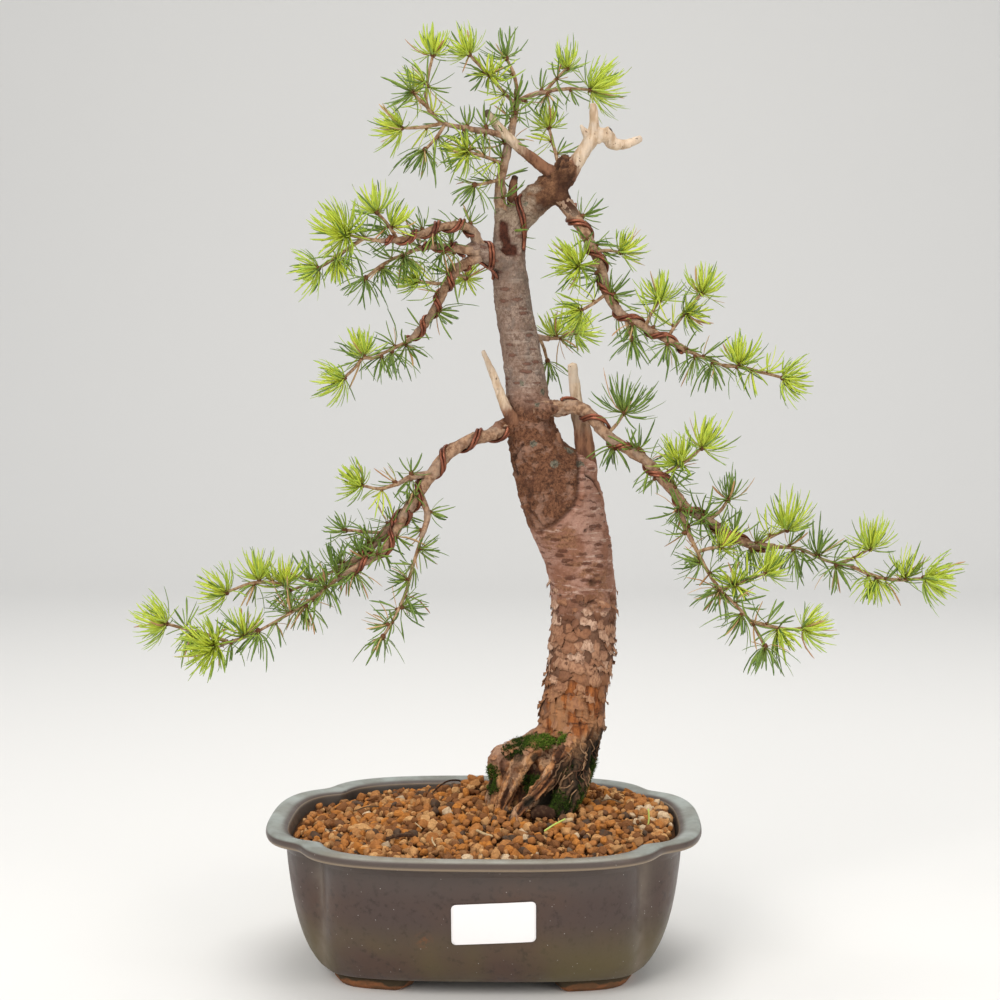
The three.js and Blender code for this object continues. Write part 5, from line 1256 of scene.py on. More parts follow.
def winding(branch, start, end, pitch, first_turn, shift):
    """One strand's path round a branch, from and to shares of the branch's length."""
    path, radii = lay_path(BRANCHES[branch], WIRE_STEP)
    _, side, up = path_frames(path)
    along = np.arange(len(path)) * WIRE_STEP
    angles = 2 * math.pi * (first_turn - (along - shift) / pitch)
    reach = radii * 1.06 + WIRE_RADIUS
    wound = path + reach[:, None] * (np.cos(angles)[:, None] * side + np.sin(angles)[:, None] * up)
    return wound[int(start * len(path)):int(end * len(path))]


def loop(line, shift):
    """One strand's path over the trunk's front, along (x, z) places."""
    path = []
    for point in catmull_rom([on_front(trunk_surface, x + shift, z) for x, z in line], 8):
        near, normal = bark_at(trunk_surface, point)
        path.append(near + normal * WIRE_RADIUS)
    path = np.array(path)
    for _ in range(6):
        path[1:-1] = (path[:-2] + 2 * path[1:-1] + path[2:]) / 4
    return path


def wire_pieces():
    copper = wire_copper()
    for name, windings in WINDINGS.items():
        paths = [winding(*turns, shift) for turns in windings for shift in (0, WIRE_SHIFT)]
        for line in LOOPS.get(name, []):
            paths += [loop(line, shift) for shift in (-WIRE_RADIUS, WIRE_RADIUS)]
        strands = [rod(path, np.full(len(path), WIRE_RADIUS), 8) for path in paths]
        make_piece(f"{name}_strands", *join_bodies(strands), [copper], "wire", [name])


wire_pieces()

# Foliage: slim twigs with brown buds, and round each bud a rosette of soft flat needles.
# This year's rosettes are yellow-green brushes, the older ones blue-green and sparser.
UP, DOWN, FRONT, BACK = (0.1, -0.3, 1), (0, -0.3, -1), (0, -1, 0.2), (0, 1, 0.2)
GOLDEN_ANGLE = math.pi * (3 - math.sqrt(5))
NEEDLE_WIDTH = 1.2
NEEDLE_STOPS = np.array([0, 0.3, 0.62, 0.9, 1.0])
NEEDLE_SHAPE = np.array([0.5, 1.0, 1.0, 0.8, 0.25])
OLD_NEEDLES = 9
FRESH_FULLNESS, OLD_FULLNESS = 3.1, 1.9
FRESH_LENGTH = 0.9
TWIG_WHORL_STEP = 8.5
BRANCH_WHORL_STEP = 12.5
# Each spray: older or fresh needles, its twig's points, and its rosettes as share of the twig,
# needles, their length, how wide they spread in degrees, and the way that they face.
SPRAYS = {
    "lower_left_upper_shoots": ("mature", [(-84, -22, 239), (-98, -24, 232), (-112, -26, 226)],
        [(0.1, 10, 20, 95, UP), (0.4, 10, 20, 95, DOWN), (0.6, 9, 20, 95, BACK),
        (1, 12, 20, 100, (-0.7, -0.3, -1))]),
    "lower_left_upper_tips": ("fresh", [(-112, -26, 226), (-118, -26, 230), (-133, -29, 231),
        (-148, -32, 226)], [(0.2, 12, 20, 95, UP), (0.6, 16, 21, 95, (-0.2, 0.2, 1)),
        (1, 18, 22, 110, (-1, -0.3, 0.5))]),
    "lower_left_lower_shoots": ("mature", [(-84, -36, 234), (-98, -38, 223), (-112, -40, 214),
        (-128, -42, 205)], [(0.15, 10, 20, 95, FRONT), (0.42, 10, 20, 95, DOWN), (0.62, 9, 20, 95, UP),
        (1, 12, 21, 100, (-0.4, 0, -1))]),
    "lower_left_end_star": ("fresh", [(-128, -42, 205), (-140, -44, 200), (-153, -46, 197)],
        [(0.35, 11, 20, 95, (0, -0.4, 1)), (1, 30, 25, 110, (-0.5, -0.9, 0.1))]),
    "lower_left_far_tips": ("fresh", [(-146, -45, 199), (-158, -40, 202), (-171, -38, 205),
        (-182, -38, 208)], [(0.6, 11, 22, 90, (0.1, 0.5, -1)), (1, 22, 23, 105, (-0.8, -0.2, 0.3))]),
    "lower_left_hanging_shoots": ("mature", [(-36, -19, 257), (-40, -27, 243), (-44, -35, 227),
        (-50, -41, 213), (-56, -46, 203)], [(0.12, 7, 15, 95, (1, -0.3, 0)),
        (0.4, 7, 16, 95, (-1, -0.3, 0)), (0.65, 8, 17, 95, (1, -0.2, 0.2)), (0.85, 7, 16, 95, (-1, 0, 0.2)),
        (1, 10, 19, 95, (-0.3, -0.2, -1))]),
    "lower_left_side_tuft": ("fresh", [(-50, -23, 288), (-60, -29, 286), (-69, -32, 288)],
        [(1, 19, 19, 100, (-0.7, -0.4, 0.6))]),
    "lower_left_small_star": ("mature", [(-58, -16, 259), (-70, -18, 260), (-80, -20, 261)],
        [(1, 10, 15, 110, (-0.8, -0.3, 0.6))]),
    "lower_right_first_tuft": ("mature", [(72, 0, 316), (78, 1, 322), (82, 2, 328)],
        [(1, 30, 25, 110, (0.2, -0.3, 1))]),
    "lower_right_fresh_tuft": ("fresh", [(103, -16, 292), (110, -19, 297), (118, -22, 302),
        (126, -21, 309)], [(0.5, 16, 21, 95, (-0.3, -0.6, 0.6)), (1, 19, 23, 110, (0.5, 0.1, 1))]),
    "lower_right_star": ("mature", [(131, -24, 268), (137, -25, 273), (141, -26, 279)],
        [(1, 17, 19, 110, (0, -0.4, 1))]),
    "lower_right_fan": ("fresh", [(158, -28, 254), (166, -31, 259), (174, -33, 263)],
        [(1, 19, 24, 85, (0.2, -0.3, 1))]),
    "lower_right_outer_shoots": ("mature", [(168, -30, 253), (182, -32, 252), (196, -36, 246),
        (210, -40, 243)], [(0.25, 11, 21, 95, DOWN), (0.55, 12, 20, 95, UP),
        (0.8, 10, 20, 95, (0, -0.4, -1))]),
    "lower_right_outer_tuft": ("fresh", [(204, -38, 244), (212, -40, 248), (220, -41, 253)],
        [(1, 19, 22, 100, (0.1, -0.1, 1))]),
    "lower_right_tip": ("fresh", [(210, -40, 243), (226, -44, 237), (238, -47, 236), (249, -50, 237.5)],
        [(0.3, 11, 20, 95, DOWN), (0.7, 11, 21, 95, UP), (1, 21, 24, 100, (0.8, -0.3, -0.15))]),
    "lower_right_drop_shoots": ("mature", [(120, -37, 257), (128, -46, 241), (135, -52, 231),
        (143, -58, 223), (152, -64, 213), (158, -69, 202)], [(0.15, 9, 19, 95, (-1, -0.2, 0.2)),
        (0.4, 11, 20, 95, (-0.6, -0.6, -0.6)), (0.68, 11, 20, 95, (-0.6, 0, -0.8)),
        (1, 16, 21, 110, (0, -0.3, -1))]),
    "lower_right_drop_inner_tuft": ("fresh", [(123, -41, 251), (129, -42, 253), (135, -43, 254)],
        [(1, 12, 18, 100, (0.6, -0.4, 0.8))]),
    "lower_right_drop_middle_tufts": ("fresh", [(135, -52, 231), (143, -50, 233), (152, -46, 236),
        (161, -42, 239)], [(0.35, 11, 18, 95, (-0.1, -0.9, 0.3)), (1, 19, 20, 105, (0.6, 0.2, 0.9))]),
    "lower_right_drop_tip": ("fresh", [(150, -63, 215), (161, -63, 212), (171, -61, 210), (180, -60, 210)],
        [(0.5, 11, 19, 95, (0.2, -0.7, -0.8)), (1, 19, 20, 110, (1, 0, 0.2))]),
    "upper_right_big_star": ("fresh", [(68, 1, 415), (62, -3, 415), (56, -7, 415)],
        [(1, 28, 24, 110, (-0.6, -0.8, 0.2))]),
    "upper_right_second_star": ("fresh", [(65, 3, 423), (72, 0, 424), (79, -2, 423)],
        [(1, 17, 19, 100, (0.8, -0.3, 0.5))]),
    "upper_right_low_tuft": ("fresh", [(72, -1, 399), (64, -6, 393), (57, -10, 389)],
        [(1, 17, 19, 100, (-0.8, -0.4, -0.4))]),
    "upper_right_hanging_shoot": ("mature", [(82, -6, 386), (84, -9, 379), (86, -11, 373)],
        [(1, 12, 20, 100, DOWN)]),
    "upper_right_third_tuft": ("fresh", [(94, -10, 379), (97, -9, 386), (102, -8, 394)],
        [(1, 18, 20, 100, (0, -0.3, 1))]),
    "upper_right_fourth_tuft": ("fresh", [(106, -14, 372), (112, -13, 381), (119, -12, 390),
        (126, -11, 398)], [(0.55, 10, 18, 95, (0.6, -0.8, 0)), (1, 19, 20, 110, (0.3, 0, 1))]),
    "upper_right_outer_shoots": ("mature", [(119, -18, 365), (128, -20, 361), (138, -23, 357)],
        [(0.2, 11, 19, 95, DOWN), (0.7, 12, 20, 95, (0, -0.5, -1))]),
    "upper_right_tip": ("fresh", [(138, -23, 357), (148, -26, 356), (160, -28, 353), (171, -30, 350)],
        [(0.3, 16, 20, 95, UP), (1, 19, 20, 110, (1, -0.2, -0.1))]),
    "back_tuft": ("fresh", [(38, 52, 373), (46, 59, 374), (54, 67, 377)],
        [(0.3, 12, 20, 95, (-0.2, 0.2, 1)), (1, 18, 21, 110, (0.6, 0.6, 0.3))]),
    "back_hanging_shoot": ("mature", [(32, 47, 374), (35, 51, 367), (37, 53, 360)],
        [(1, 12, 20, 95, (0.1, 0.1, -1))]),
    "upper_left_big_star": ("fresh", [(-57, -43, 427), (-66, -48, 428), (-75, -52, 430)],
        [(1, 34, 25, 115, (-0.6, -0.8, 0.2))]),
    "upper_left_side_tufts": ("fresh", [(-66, -48, 428), (-76, -45, 422), (-85, -43, 416), (-92, -42, 412)],
        [(0.55, 11, 19, 90, (0.3, -0.6, -1)), (1, 18, 20, 105, (-1, 0.1, -0.3))]),
    "upper_left_top_tufts": ("fresh", [(-48, -35, 428), (-53, -36, 436), (-59, -37, 443)],
        [(0.4, 11, 18, 90, (0.8, -0.2, 0.8)), (1, 17, 20, 100, (-0.4, 0.4, 1))]),
    "upper_left_inner_shoots": ("mature", [(-38, -17, 424), (-47, -22, 420), (-58, -28, 414),
        (-66, -32, 407)], [(0.3, 11, 19, 95, (0.2, -0.6, -0.7)), (0.65, 10, 19, 95, (0.2, 0.7, -0.7)),
        (1, 12, 20, 100, (-0.3, -0.1, -1))]),
    "middle_left_left_tuft": ("fresh", [(-22, 6, 405), (-30, 0, 405), (-38, -6, 406)],
        [(1, 16, 18, 100, (-0.8, -0.5, 0.4))]),
    "middle_left_right_tuft": ("fresh", [(-18, 5, 411), (-14, 12, 410), (-12, 19, 409)],
        [(1, 12, 17, 100, (0.1, 0.8, 0.2))]),
    "middle_left_shoots": ("mature", [(-45, 2, 371), (-55, -4, 366), (-65, -10, 361)],
        [(0.1, 11, 19, 95, (0.2, -0.8, -0.6)), (0.45, 10, 19, 95, (0, 0.6, -1)), (0.75, 9, 18, 95, DOWN)]),
    "middle_left_tip_tufts": ("fresh", [(-65, -10, 361), (-70, -14, 361), (-75, -19, 355), (-80, -24, 350)],
        [(0.3, 16, 20, 95, (-0.3, 0.2, 1)), (1, 18, 21, 105, (-0.9, -0.3, -0.2))]),
    "apex_crown_shoot": ("mature", [(19, 14, 519), (17, 12, 528), (13, 10, 536)],
        [(1, 16, 18, 105, (-0.2, 0.2, 1))]),
    "apex_crown_left_tuft": ("fresh", [(18, 12, 510), (9, 6, 519), (0, 0, 528), (-8, -6, 536)],
        [(0.55, 10, 18, 90, (0, -0.9, 0.2)), (1, 18, 19, 105, (-0.6, -0.2, 0.9))]),
    "apex_right_inner_tuft": ("fresh", [(36, 19, 519), (42, 20, 526), (48, 22, 532)],
        [(1, 12, 18, 95, (0, -0.1, 1))]),
    "apex_right_outer_tuft": ("fresh", [(42, 21, 520), (52, 25, 521), (62, 29, 521)],
        [(1, 32, 26, 105, (1, 0.2, 0.4))]),
    "apex_left_crown_tuft": ("fresh", [(-24, -13, 496), (-32, -17, 505), (-32, -17, 519), (-29, -15, 534)],
        [(0.65, 10, 18, 90, (-1, 0, 0.2)), (1, 17, 18, 105, (0, 0, 1))]),
    "apex_left_dark_shoot": ("mature", [(-32, -17, 505), (-36, -23, 508), (-39, -28, 511)],
        [(1, 16, 19, 110, (-0.5, -0.8, 0))]),
    "apex_left_low_tuft": ("fresh", [(-24, -13, 496), (-36, -19, 493), (-46, -25, 492)],
        [(1, 19, 21, 105, (-1, -0.3, 0.1))]),
    "apex_left_low_shoot": ("mature", [(-22, -12, 496), (-27, -14, 488), (-33, -17, 481)],
        [(1, 16, 20, 100, (-0.4, -0.2, -1))]),
    "apex_centre_tuft": ("fresh", [(12, 12, 475), (1, -3, 478), (-9, -12, 480)],
        [(1, 19, 21, 110, (-0.6, -0.8, -0.2))]),
    "apex_centre_shoot": ("mature", [(10, 13, 467), (3, 4, 464), (-5, 0, 462)],
        [(1, 12, 19, 100, (-0.5, 0.3, -0.8))]),
    "apex_right_small_tuft": ("fresh", [(44, 21, 474), (41, 24, 486), (38, 28, 498)],
        [(1, 17, 18, 100, (-0.1, 0.2, 1))]),
}
# Rosettes that sit straight on the branches: branch, share of its length, direction, needles, length.
SPUR_ROSETTES = [
    ("lower_left_side", 0.54, UP, 9, 15), ("lower_left_side", 0.95, (-1, -0.2, 0.5), 8, 15),
    ("lower_left", 0.91, UP, 14, 17), ("lower_left", 0.97, DOWN, 14, 19), ("lower_left", 0.74, UP, 8, 13),
    ("lower_left", 0.84, (-0.3, -0.8, 0.6), 12, 18), ("lower_left", 0.66, (0.2, 0.3, 1), 7, 13),
    ("lower_left_fork", 0.55, FRONT, 12, 17), ("lower_left_fork", 0.8, DOWN, 12, 19),
    ("lower_left_fork", 0.98, UP, 13, 18), ("lower_right", 0.35, (-0.2, -0.5, -0.9), 13, 17),
    ("lower_right", 0.44, UP, 12, 16), ("lower_right", 0.49, DOWN, 10, 17),
    ("lower_right", 0.66, DOWN, 12, 18), ("lower_right", 0.74, (0.2, -0.9, 0.4), 13, 17),
    ("lower_right", 0.8, DOWN, 13, 19), ("lower_right", 0.86, UP, 14, 18),
    ("lower_right", 0.92, DOWN, 13, 19), ("lower_right_drop", 0.3, FRONT, 9, 15),
    ("lower_right_drop", 0.8, (-1, -0.4, 0), 10, 17), ("upper_left_back", 0.44, UP, 11, 16),
    ("upper_left_back", 0.56, DOWN, 12, 18), ("upper_left_front", 0.18, UP, 7, 14),
    ("upper_left_front", 0.5, DOWN, 11, 17), ("leader", 0.13, (1, -0.4, 0.3), 10, 17),
    ("leader", 0.67, (-1, -0.3, 0.4), 12, 17), ("leader", 0.85, FRONT, 10, 16),
    ("middle_left", 0.3, (-0.8, -0.5, 0.5), 12, 17), ("middle_left", 0.62, (0.8, -0.4, -0.4), 10, 17),
    ("upper_right", 0.57, (0.7, -0.4, 0.5), 14, 18), ("upper_right", 0.19, (0.9, -0.3, 0.6), 12, 17),
    ("upper_right", 0.32, (0.8, -0.4, -0.3), 12, 17), ("upper_right", 0.72, DOWN, 13, 19),
    ("upper_right", 0.9, (-0.3, -0.6, -0.9), 12, 18), ("upper_right", 0.45, (-0.9, -0.3, -0.5), 10, 17),
    ("apex_left", 0.69, DOWN, 12, 17), ("apex_right", 0.79, DOWN, 12, 17), ("apex_left", 0.4, UP, 10, 15),
]
# Where the scattered small rosettes begin on each branch, as a share of its length.
LEAFY_FROM = {
    "lower_left": 0.58, "lower_left_fork": 0.3, "lower_left_hanger": 0.4, "lower_left_side": 0.5,
    "lower_right": 0.34, "lower_right_drop": 0.3, "upper_right": 0.3, "upper_left_front": 0.3,
    "upper_left_back": 0.35, "middle_left": 0.3, "leader": 0.35, "apex_right": 0.2, "apex_left": 0.15,
}
BRANCH_STATION = 0.9
# A spray's materials, in the order in which its piece carries them.
TWIG, OLD, FRESH = 0, 1, 2


def unit(vector):
    """The vector, or each of several, at length 1."""
    vector = np.asarray(vector, float)
    return vector / np.linalg.norm(vector, axis=-1, keepdims=True)


def rosette(middle, axis, count, length, spread, lift, random):
    """Needles round a bud: points (count, stations, 3 sides, xyz), and 0 to 1 from its heart outwards."""
    axis = unit(axis)
    side = unit(np.cross(axis, (0.31, 0.22, 0.93) if abs(axis[2]) < 0.9 else (1, 0.2, 0.1)))
    up = np.cross(axis, side)
    order = ((np.arange(count) + random.uniform(0.2, 0.8, count)) / count) ** 1.15
    polar = np.arccos(1 - (1 - math.cos(math.radians(spread))) * order)
    turn = GOLDEN_ANGLE * np.arange(count) + random.uniform(0, 6.28) + random.normal(0, 0.3, count)
    out = (np.cos(polar)[:, None] * axis
           + (np.sin(polar) * np.cos(turn))[:, None] * side + (np.sin(polar) * np.sin(turn))[:, None] * up)
    reach = length * random.uniform(0.58, 0.95, count)
    droop = lift * (1 - 2 * order) + random.normal(0, 0.3, count)
    inwards = 0.12 + random.uniform(0.25, 1.1, count) * np.sin(polar)
    curl = axis * inwards[:, None] + np.array([0, 0, 1]) * droop[:, None]
    curl += random.normal(0, 0.22, (count, 3))
    curl -= 0.8 * out * (curl * out).sum(1, keepdims=True)
    t = NEEDLE_STOPS[None, :, None]
    centre = np.asarray(middle) + out[:, None] * (0.6 + reach[:, None, None] * t) + (
        0.62 * reach[:, None, None] * t**2 * curl[:, None])
    ahead = unit(np.gradient(centre, axis=1))
    flat = unit(np.cross(ahead, axis + random.normal(0, 0.35, (count, 1, 3))))
    thick = np.cross(ahead, flat)
    half = 0.5 * NEEDLE_WIDTH * NEEDLE_SHAPE[None, :, None] * random.uniform(0.75, 1.1, (count, 1, 1))
    return np.stack([centre - flat * half, centre + flat * half, centre + thick * half * 0.7], 2), order


def needle_faces(count, start):
    """Faces of a rosette's needles, each closed at its root and tip."""
    rings = len(NEEDLE_STOPS)
    faces = []
    for needle in range(count):
        base = start + needle * rings * 3
        faces.append((base + 2, base + 1, base))
        for ring in range(rings - 1):
            a = base + 3 * ring
            faces += [(a, a + 1, a + 4, a + 3), (a + 1, a + 2, a + 5, a + 4), (a + 2, a, a + 3, a + 5)]
        tip = base + 3 * (rings - 1)
        faces.append((tip, tip + 1, tip + 2))
    return faces


def needle_material(name, outer, heart, tip, base):
    """Needles from heart to outer colour by their tone, paler at the base and darker at the tip."""
    leaf = Finish(name, 0.45, 0.3)
    tone, along = leaf.mark("tone"), leaf.mark("along")
    return leaf.done(leaf.coats(
        outer,
        (heart, tone),
        (base, leaf.ease(along, 0.5, 0.0), 0.6),
        (tip, leaf.ease(along, 0.6, 1.0), 0.55),
        (leaf.coats((0.42, 0.19, 0.085), ((0.6, 0.42, 0.2), tone)), leaf.mark("dry")),
    ))


def twig_bark():
    bark = Finish("twig_bark", 0.8, 0.25)
    colour = bark.coats(
        (0.22, 0.115, 0.055),
        ((0.46, 0.31, 0.19), bark.patches(0.35, 0.65, 400, 4)),
        ((0.15, 0.062, 0.028), bark.mark("dry")),
    )
    return bark.done(colour, bark.noise(900, 3), 0.0003)


class Spray:
    """Collects twigs, buds and rosettes of one spray, then makes them one piece."""

    def __init__(self, random):
        self.random = random
        self.points, self.faces, self.face_material = [], [], []
        self.marks = {"tone": [], "along": [], "dry": []}
        self.size = 0

    def add(self, points, faces, material, tone, along, dry):
        self.points.append(points)
        self.faces += faces
        self.face_material += [material] * len(faces)
        for mark, values in (("tone", tone), ("along", along), ("dry", dry)):
            self.marks[mark].append(np.broadcast_to(values, len(points)))
        self.size += len(points)

    def add_body(self, points, faces, dry=0.0):
        self.add(points, [tuple(self.size + k for k in face) for face in faces], TWIG, 0.5, 0.5, dry)

    def add_bud(self, middle, axis, radius):
        path = np.asarray(middle) + np.linspace(-1.2, 1.1, 6)[:, None] * radius * unit(axis)
        self.add_body(*rod(path, radius * np.array([0.5, 0.85, 1, 0.95, 0.75, 0.35]), 7), dry=1.0)

    def add_rosette(self, middle, axis, count, length, spread, material):
        lift = 0.45 if material == FRESH else 0.25
        needles, outward = rosette(middle, axis, count, length, spread, lift, self.random)
        each = needles.shape[1] * needles.shape[2]
        spread_tone = 1 - outward if material == FRESH else self.random.uniform(0, 1, count)
        tone = np.repeat(0.65 * spread_tone + 0.35 * self.random.uniform(0, 1, count), each)
        along = np.tile(np.repeat(NEEDLE_STOPS, 3), count)
        withered = 0.015 if material == FRESH else (0.35 if self.random.random() < 0.1 else 0.05)
        dry = np.repeat((self.random.random(count) < withered) * 1.0, each)
        self.add(needles.reshape(-1, 3), needle_faces(count, self.size), material, tone, along, dry)

    def add_whorl(self, middle, out, bud, counts, lengths, material):
        """A small bud with a few needles, at the side of a twig or branch."""
        self.add_bud(middle, out, bud)
        count, length = int(self.random.integers(*counts)), self.random.uniform(*lengths)
        self.add_rosette(middle, out, count, length, 95, material)

    def make(self, name, materials, slot, replaced=()):
        points = np.vstack(self.points)
        marks = {mark: np.concatenate(values) for mark, values in self.marks.items()}
        make_piece(name, points, self.faces, materials, slot, replaced, self.face_material, marks)


def sideways(ahead, turn, rise, lean):
    """A way out from a twig that runs ahead, at a turn round it, leaning along it."""
    return unit(np.cross(ahead, (math.cos(turn), math.sin(turn), rise)) + lean * ahead)


def grow_spray(spray, age, twig, heads, seed):
    """Grows the knobbly twig, its main rosettes and a whorl of small ones along it."""
    stations = [(*p, r) for p, r in zip(twig, np.linspace(1.15, 0.85, len(twig)))]
    spray.add_body(*tube(stations, 7, 1.2, spurred(2.3 * seed)))
    path = catmull_rom(twig, 24)
    ahead = unit(np.gradient(path, axis=0))
    length = np.linalg.norm(np.diff(path, axis=0), axis=1).sum()
    material = FRESH if age == "fresh" else OLD
    for share, count, needle_length, spread, axis in heads:
        at = min(len(path) - 1, int(share * len(path)))
        middle = path[at] + (ahead[at] if share == 1 else unit(axis) * 1.8)
        spray.add_bud(middle, axis, 1.7 if share == 1 else 1.4)
        needles = int(count * (FRESH_FULLNESS if material == FRESH else OLD_FULLNESS))
        needle_length *= FRESH_LENGTH if material == FRESH else 1
        spray.add_rosette(middle, axis, needles, needle_length - 0.7, spread, material)
        if material == FRESH:
            spray.add_rosette(middle - unit(axis), axis, OLD_NEEDLES, needle_length + 1, 112, OLD)
    for number in range(1, int(length / TWIG_WHORL_STEP)):
        at = int(number * TWIG_WHORL_STEP / length * len(path))
        out = sideways(ahead[at], GOLDEN_ANGLE * number + seed, 0.4, 0.5)
        own = FRESH if material == FRESH and spray.random.random() < 0.5 else OLD
        spray.add_whorl(path[at] + out * 1.2, out, 1.1, (7, 12), (14, 20), own)


def spur_rosettes(spurs):
    """Rosettes on the branches themselves: full ones at given places, and small ones in between."""
    for branch, share, axis, count, needle_length in SPUR_ROSETTES:
        path, radii = lay_path(BRANCHES[branch], BRANCH_STATION)
        at = min(len(path) - 1, int(share * len(path)))
        middle = path[at] + unit(axis) * (radii[at] + 0.6)
        spurs.add_bud(middle, axis, 1.6)
        spurs.add_rosette(middle, axis, int(count * 1.15), needle_length - 0.5, 100, OLD)
    step = int(BRANCH_WHORL_STEP / BRANCH_STATION)
    for seed, (branch, first_share) in enumerate(LEAFY_FROM.items()):
        path, radii = lay_path(BRANCHES[branch], BRANCH_STATION)
        ahead = unit(np.gradient(path, axis=0))
        for number, at in enumerate(range(int(first_share * len(path)), len(path) - 2, step)):
            out = sideways(ahead[at], GOLDEN_ANGLE * number + seed, 0.3, 0.3)
            spurs.add_whorl(path[at] + out * (radii[at] + 0.3), out, 1.3, (5, 11), (13, 19), OLD)


def foliage():
    materials = [
        twig_bark(),
        needle_material(
            "needles_mature",
            outer=(0.085, 0.16, 0.032), heart=(0.3, 0.42, 0.075),
            tip=(0.075, 0.15, 0.035), base=(0.38, 0.44, 0.1)),
        needle_material(
            "needles_fresh",
            outer=(0.28, 0.43, 0.045), heart=(0.8, 0.87, 0.105),
            tip=(0.26, 0.42, 0.06), base=(0.8, 0.84, 0.13)),
    ]
    for seed, (name, (age, twig, heads)) in enumerate(SPRAYS.items()):
        spray = Spray(np.random.default_rng(100 + seed))
        grow_spray(spray, age, twig, heads, seed)
        spray.make(f"spray_{name}", materials, f"needles_{age}", [name])
    spurs = Spray(np.random.default_rng(7))
    spur_rosettes(spurs)
    spurs.make("spur_rosettes", materials, "needles_mature")


foliage()

# Soil: coarse granules of fired clay, broken and angular, heaped against the trunk and
# falling to the rim, over a darker bed that fills the pot.
MOUND_X, MOUND_Y = 32, 18
MOUND_REACH_X, MOUND_REACH_Y = 105, 78
MOUND_TOP, MOUND_RIM = 93, 82.5
HEAP_X, HEAP_Y, HEAP_RISE = -8, 42, 8.5
LEFT_DROP = 4.0
# Each layer of granules: their spacing, and how far above the heap's surface they lie.
GRAIN_LAYERS = ((5.6, -0.8), (6.4, 1.3))
GRAIN_FIELD_X, GRAIN_FIELD_Y = 118, 90
GRAIN_ROW_SHARE = 0.87
GRAIN_WALL_OFFSET = 15.5
GRAIN_CUTS = 13
PALE_PLACES = [
    ((102, 2), 17), ((92, -18), 9), ((83, 40), 8), ((62, 45), 6), ((-52, -75), 13), ((4, -81), 13),
    ((104, 22), 9),
]
PALE_GRAIN = (-21.6, -6.4, 90.5, 3.9)
GRAIN_STAND = 3.6
# The bed inside the wall, as (distance in from the lip's edge, height), and how far it lies under the heap.
BED_WALL = [(46.6, 14.6), (34.5, 28.5), (20.4, 58.4), (15.4, 79)]
BED_DEPTH = 3.2


def mound(x, y):
    """Height of the heaped granules."""
    reach = np.minimum(1, np.hypot((x - MOUND_X) / MOUND_REACH_X, (y - MOUND_Y) / MOUND_REACH_Y))
    heap = HEAP_RISE * np.exp(-((x - HEAP_X) / 11) ** 2 - ((y - HEAP_Y) / 15) ** 2)
    return MOUND_TOP + (MOUND_RIM - MOUND_TOP) * reach**1.2 + heap - LEFT_DROP * smoothstep(-x, 35, 105)


def soil_clay():
    soil = Finish("soil_granules", 0.95, 0.15)
    tone = soil.mark("tone")
    colour = soil.coats(
        (0.53, 0.205, 0.042),
        ((0.42, 0.175, 0.055), soil.ease(tone, 0.0, 0.3)),
        ((0.64, 0.365, 0.155), soil.ease(tone, 0.34, 0.55)),
        ((0.215, 0.092, 0.036), soil.ease(tone, 0.55, 0.74)),
        ((0.09, 0.064, 0.047), soil.ease(tone, 0.93, 0.95)),
        ((0.68, 0.52, 0.34), soil.ease(tone, 0.991, 0.993)),
        ((0.17, 0.065, 0.02), soil.patches(0.35, 0.7, 500, 4), 0.45),
        ((0.04, 0.019, 0.01), soil.mark("shade")),
    )
    return soil.done(colour, soil.noise(900, 5), 0.0006)


def soil_bed(soil):
    """The dark bed under the loose granules, one body that fills the pot."""
    rings = [np.column_stack([pot_outline(offset), np.full(POT_SIDES, z)]) for offset, z in BED_WALL]
    edge = rings[-1][:, :2]
    for share in (1.0, 0.9, 0.75, 0.6, 0.45, 0.3, 0.15):
        top = np.array([MOUND_X, MOUND_Y]) * (1 - share) + edge * share
        rings.append(np.column_stack([top, mound(*top.T) - BED_DEPTH]))
    centre = [(MOUND_X, MOUND_Y, MOUND_TOP - BED_DEPTH)]
    points, faces = skin_rings(rings, [(0, 0, BED_WALL[0][1])], centre)
    make_piece("soil_bed", points, faces, [soil], "soil", ["soil"], marks={
        "tone": np.full(len(points), 0.84), "shade": np.full(len(points), 0.6)})


def ball():
    """Points and triangles of a small even ball of radius 1."""
    bpy.ops.mesh.primitive_ico_sphere_add(subdivisions=2, radius=1)
    helper = bpy.context.object
    points = np.array([v.co[:] for v in helper.data.vertices])
    faces = np.array([tuple(p.vertices) for p in helper.data.polygons])
    bpy.data.objects.remove(helper)
    return points, faces


def inside_wood(point, margin):
    """Whether a point lies in the trunk or its roots, or nearer to them than the margin."""
    near, normal, _, _ = trunk_surface.find_nearest(Vector(point))
    return (Vector(point) - near).dot(normal) < margin


def granule(shape, centre, radius, random):
    """A ball with flat faces broken off it, turned and stretched at random."""
    body = shape.copy()
    for way in unit(random.normal(0, 1, (GRAIN_CUTS, 3))):
        over = np.clip(body @ way - random.uniform(0.5, 0.85), 0, None)
        body -= over[:, None] * way
    spin = np.array(Vector(random.normal(0, 1, 3)).to_track_quat("Z", "Y").to_matrix())
    return (body * random.uniform(0.8, 1.35, 3)) @ spin * radius + centre


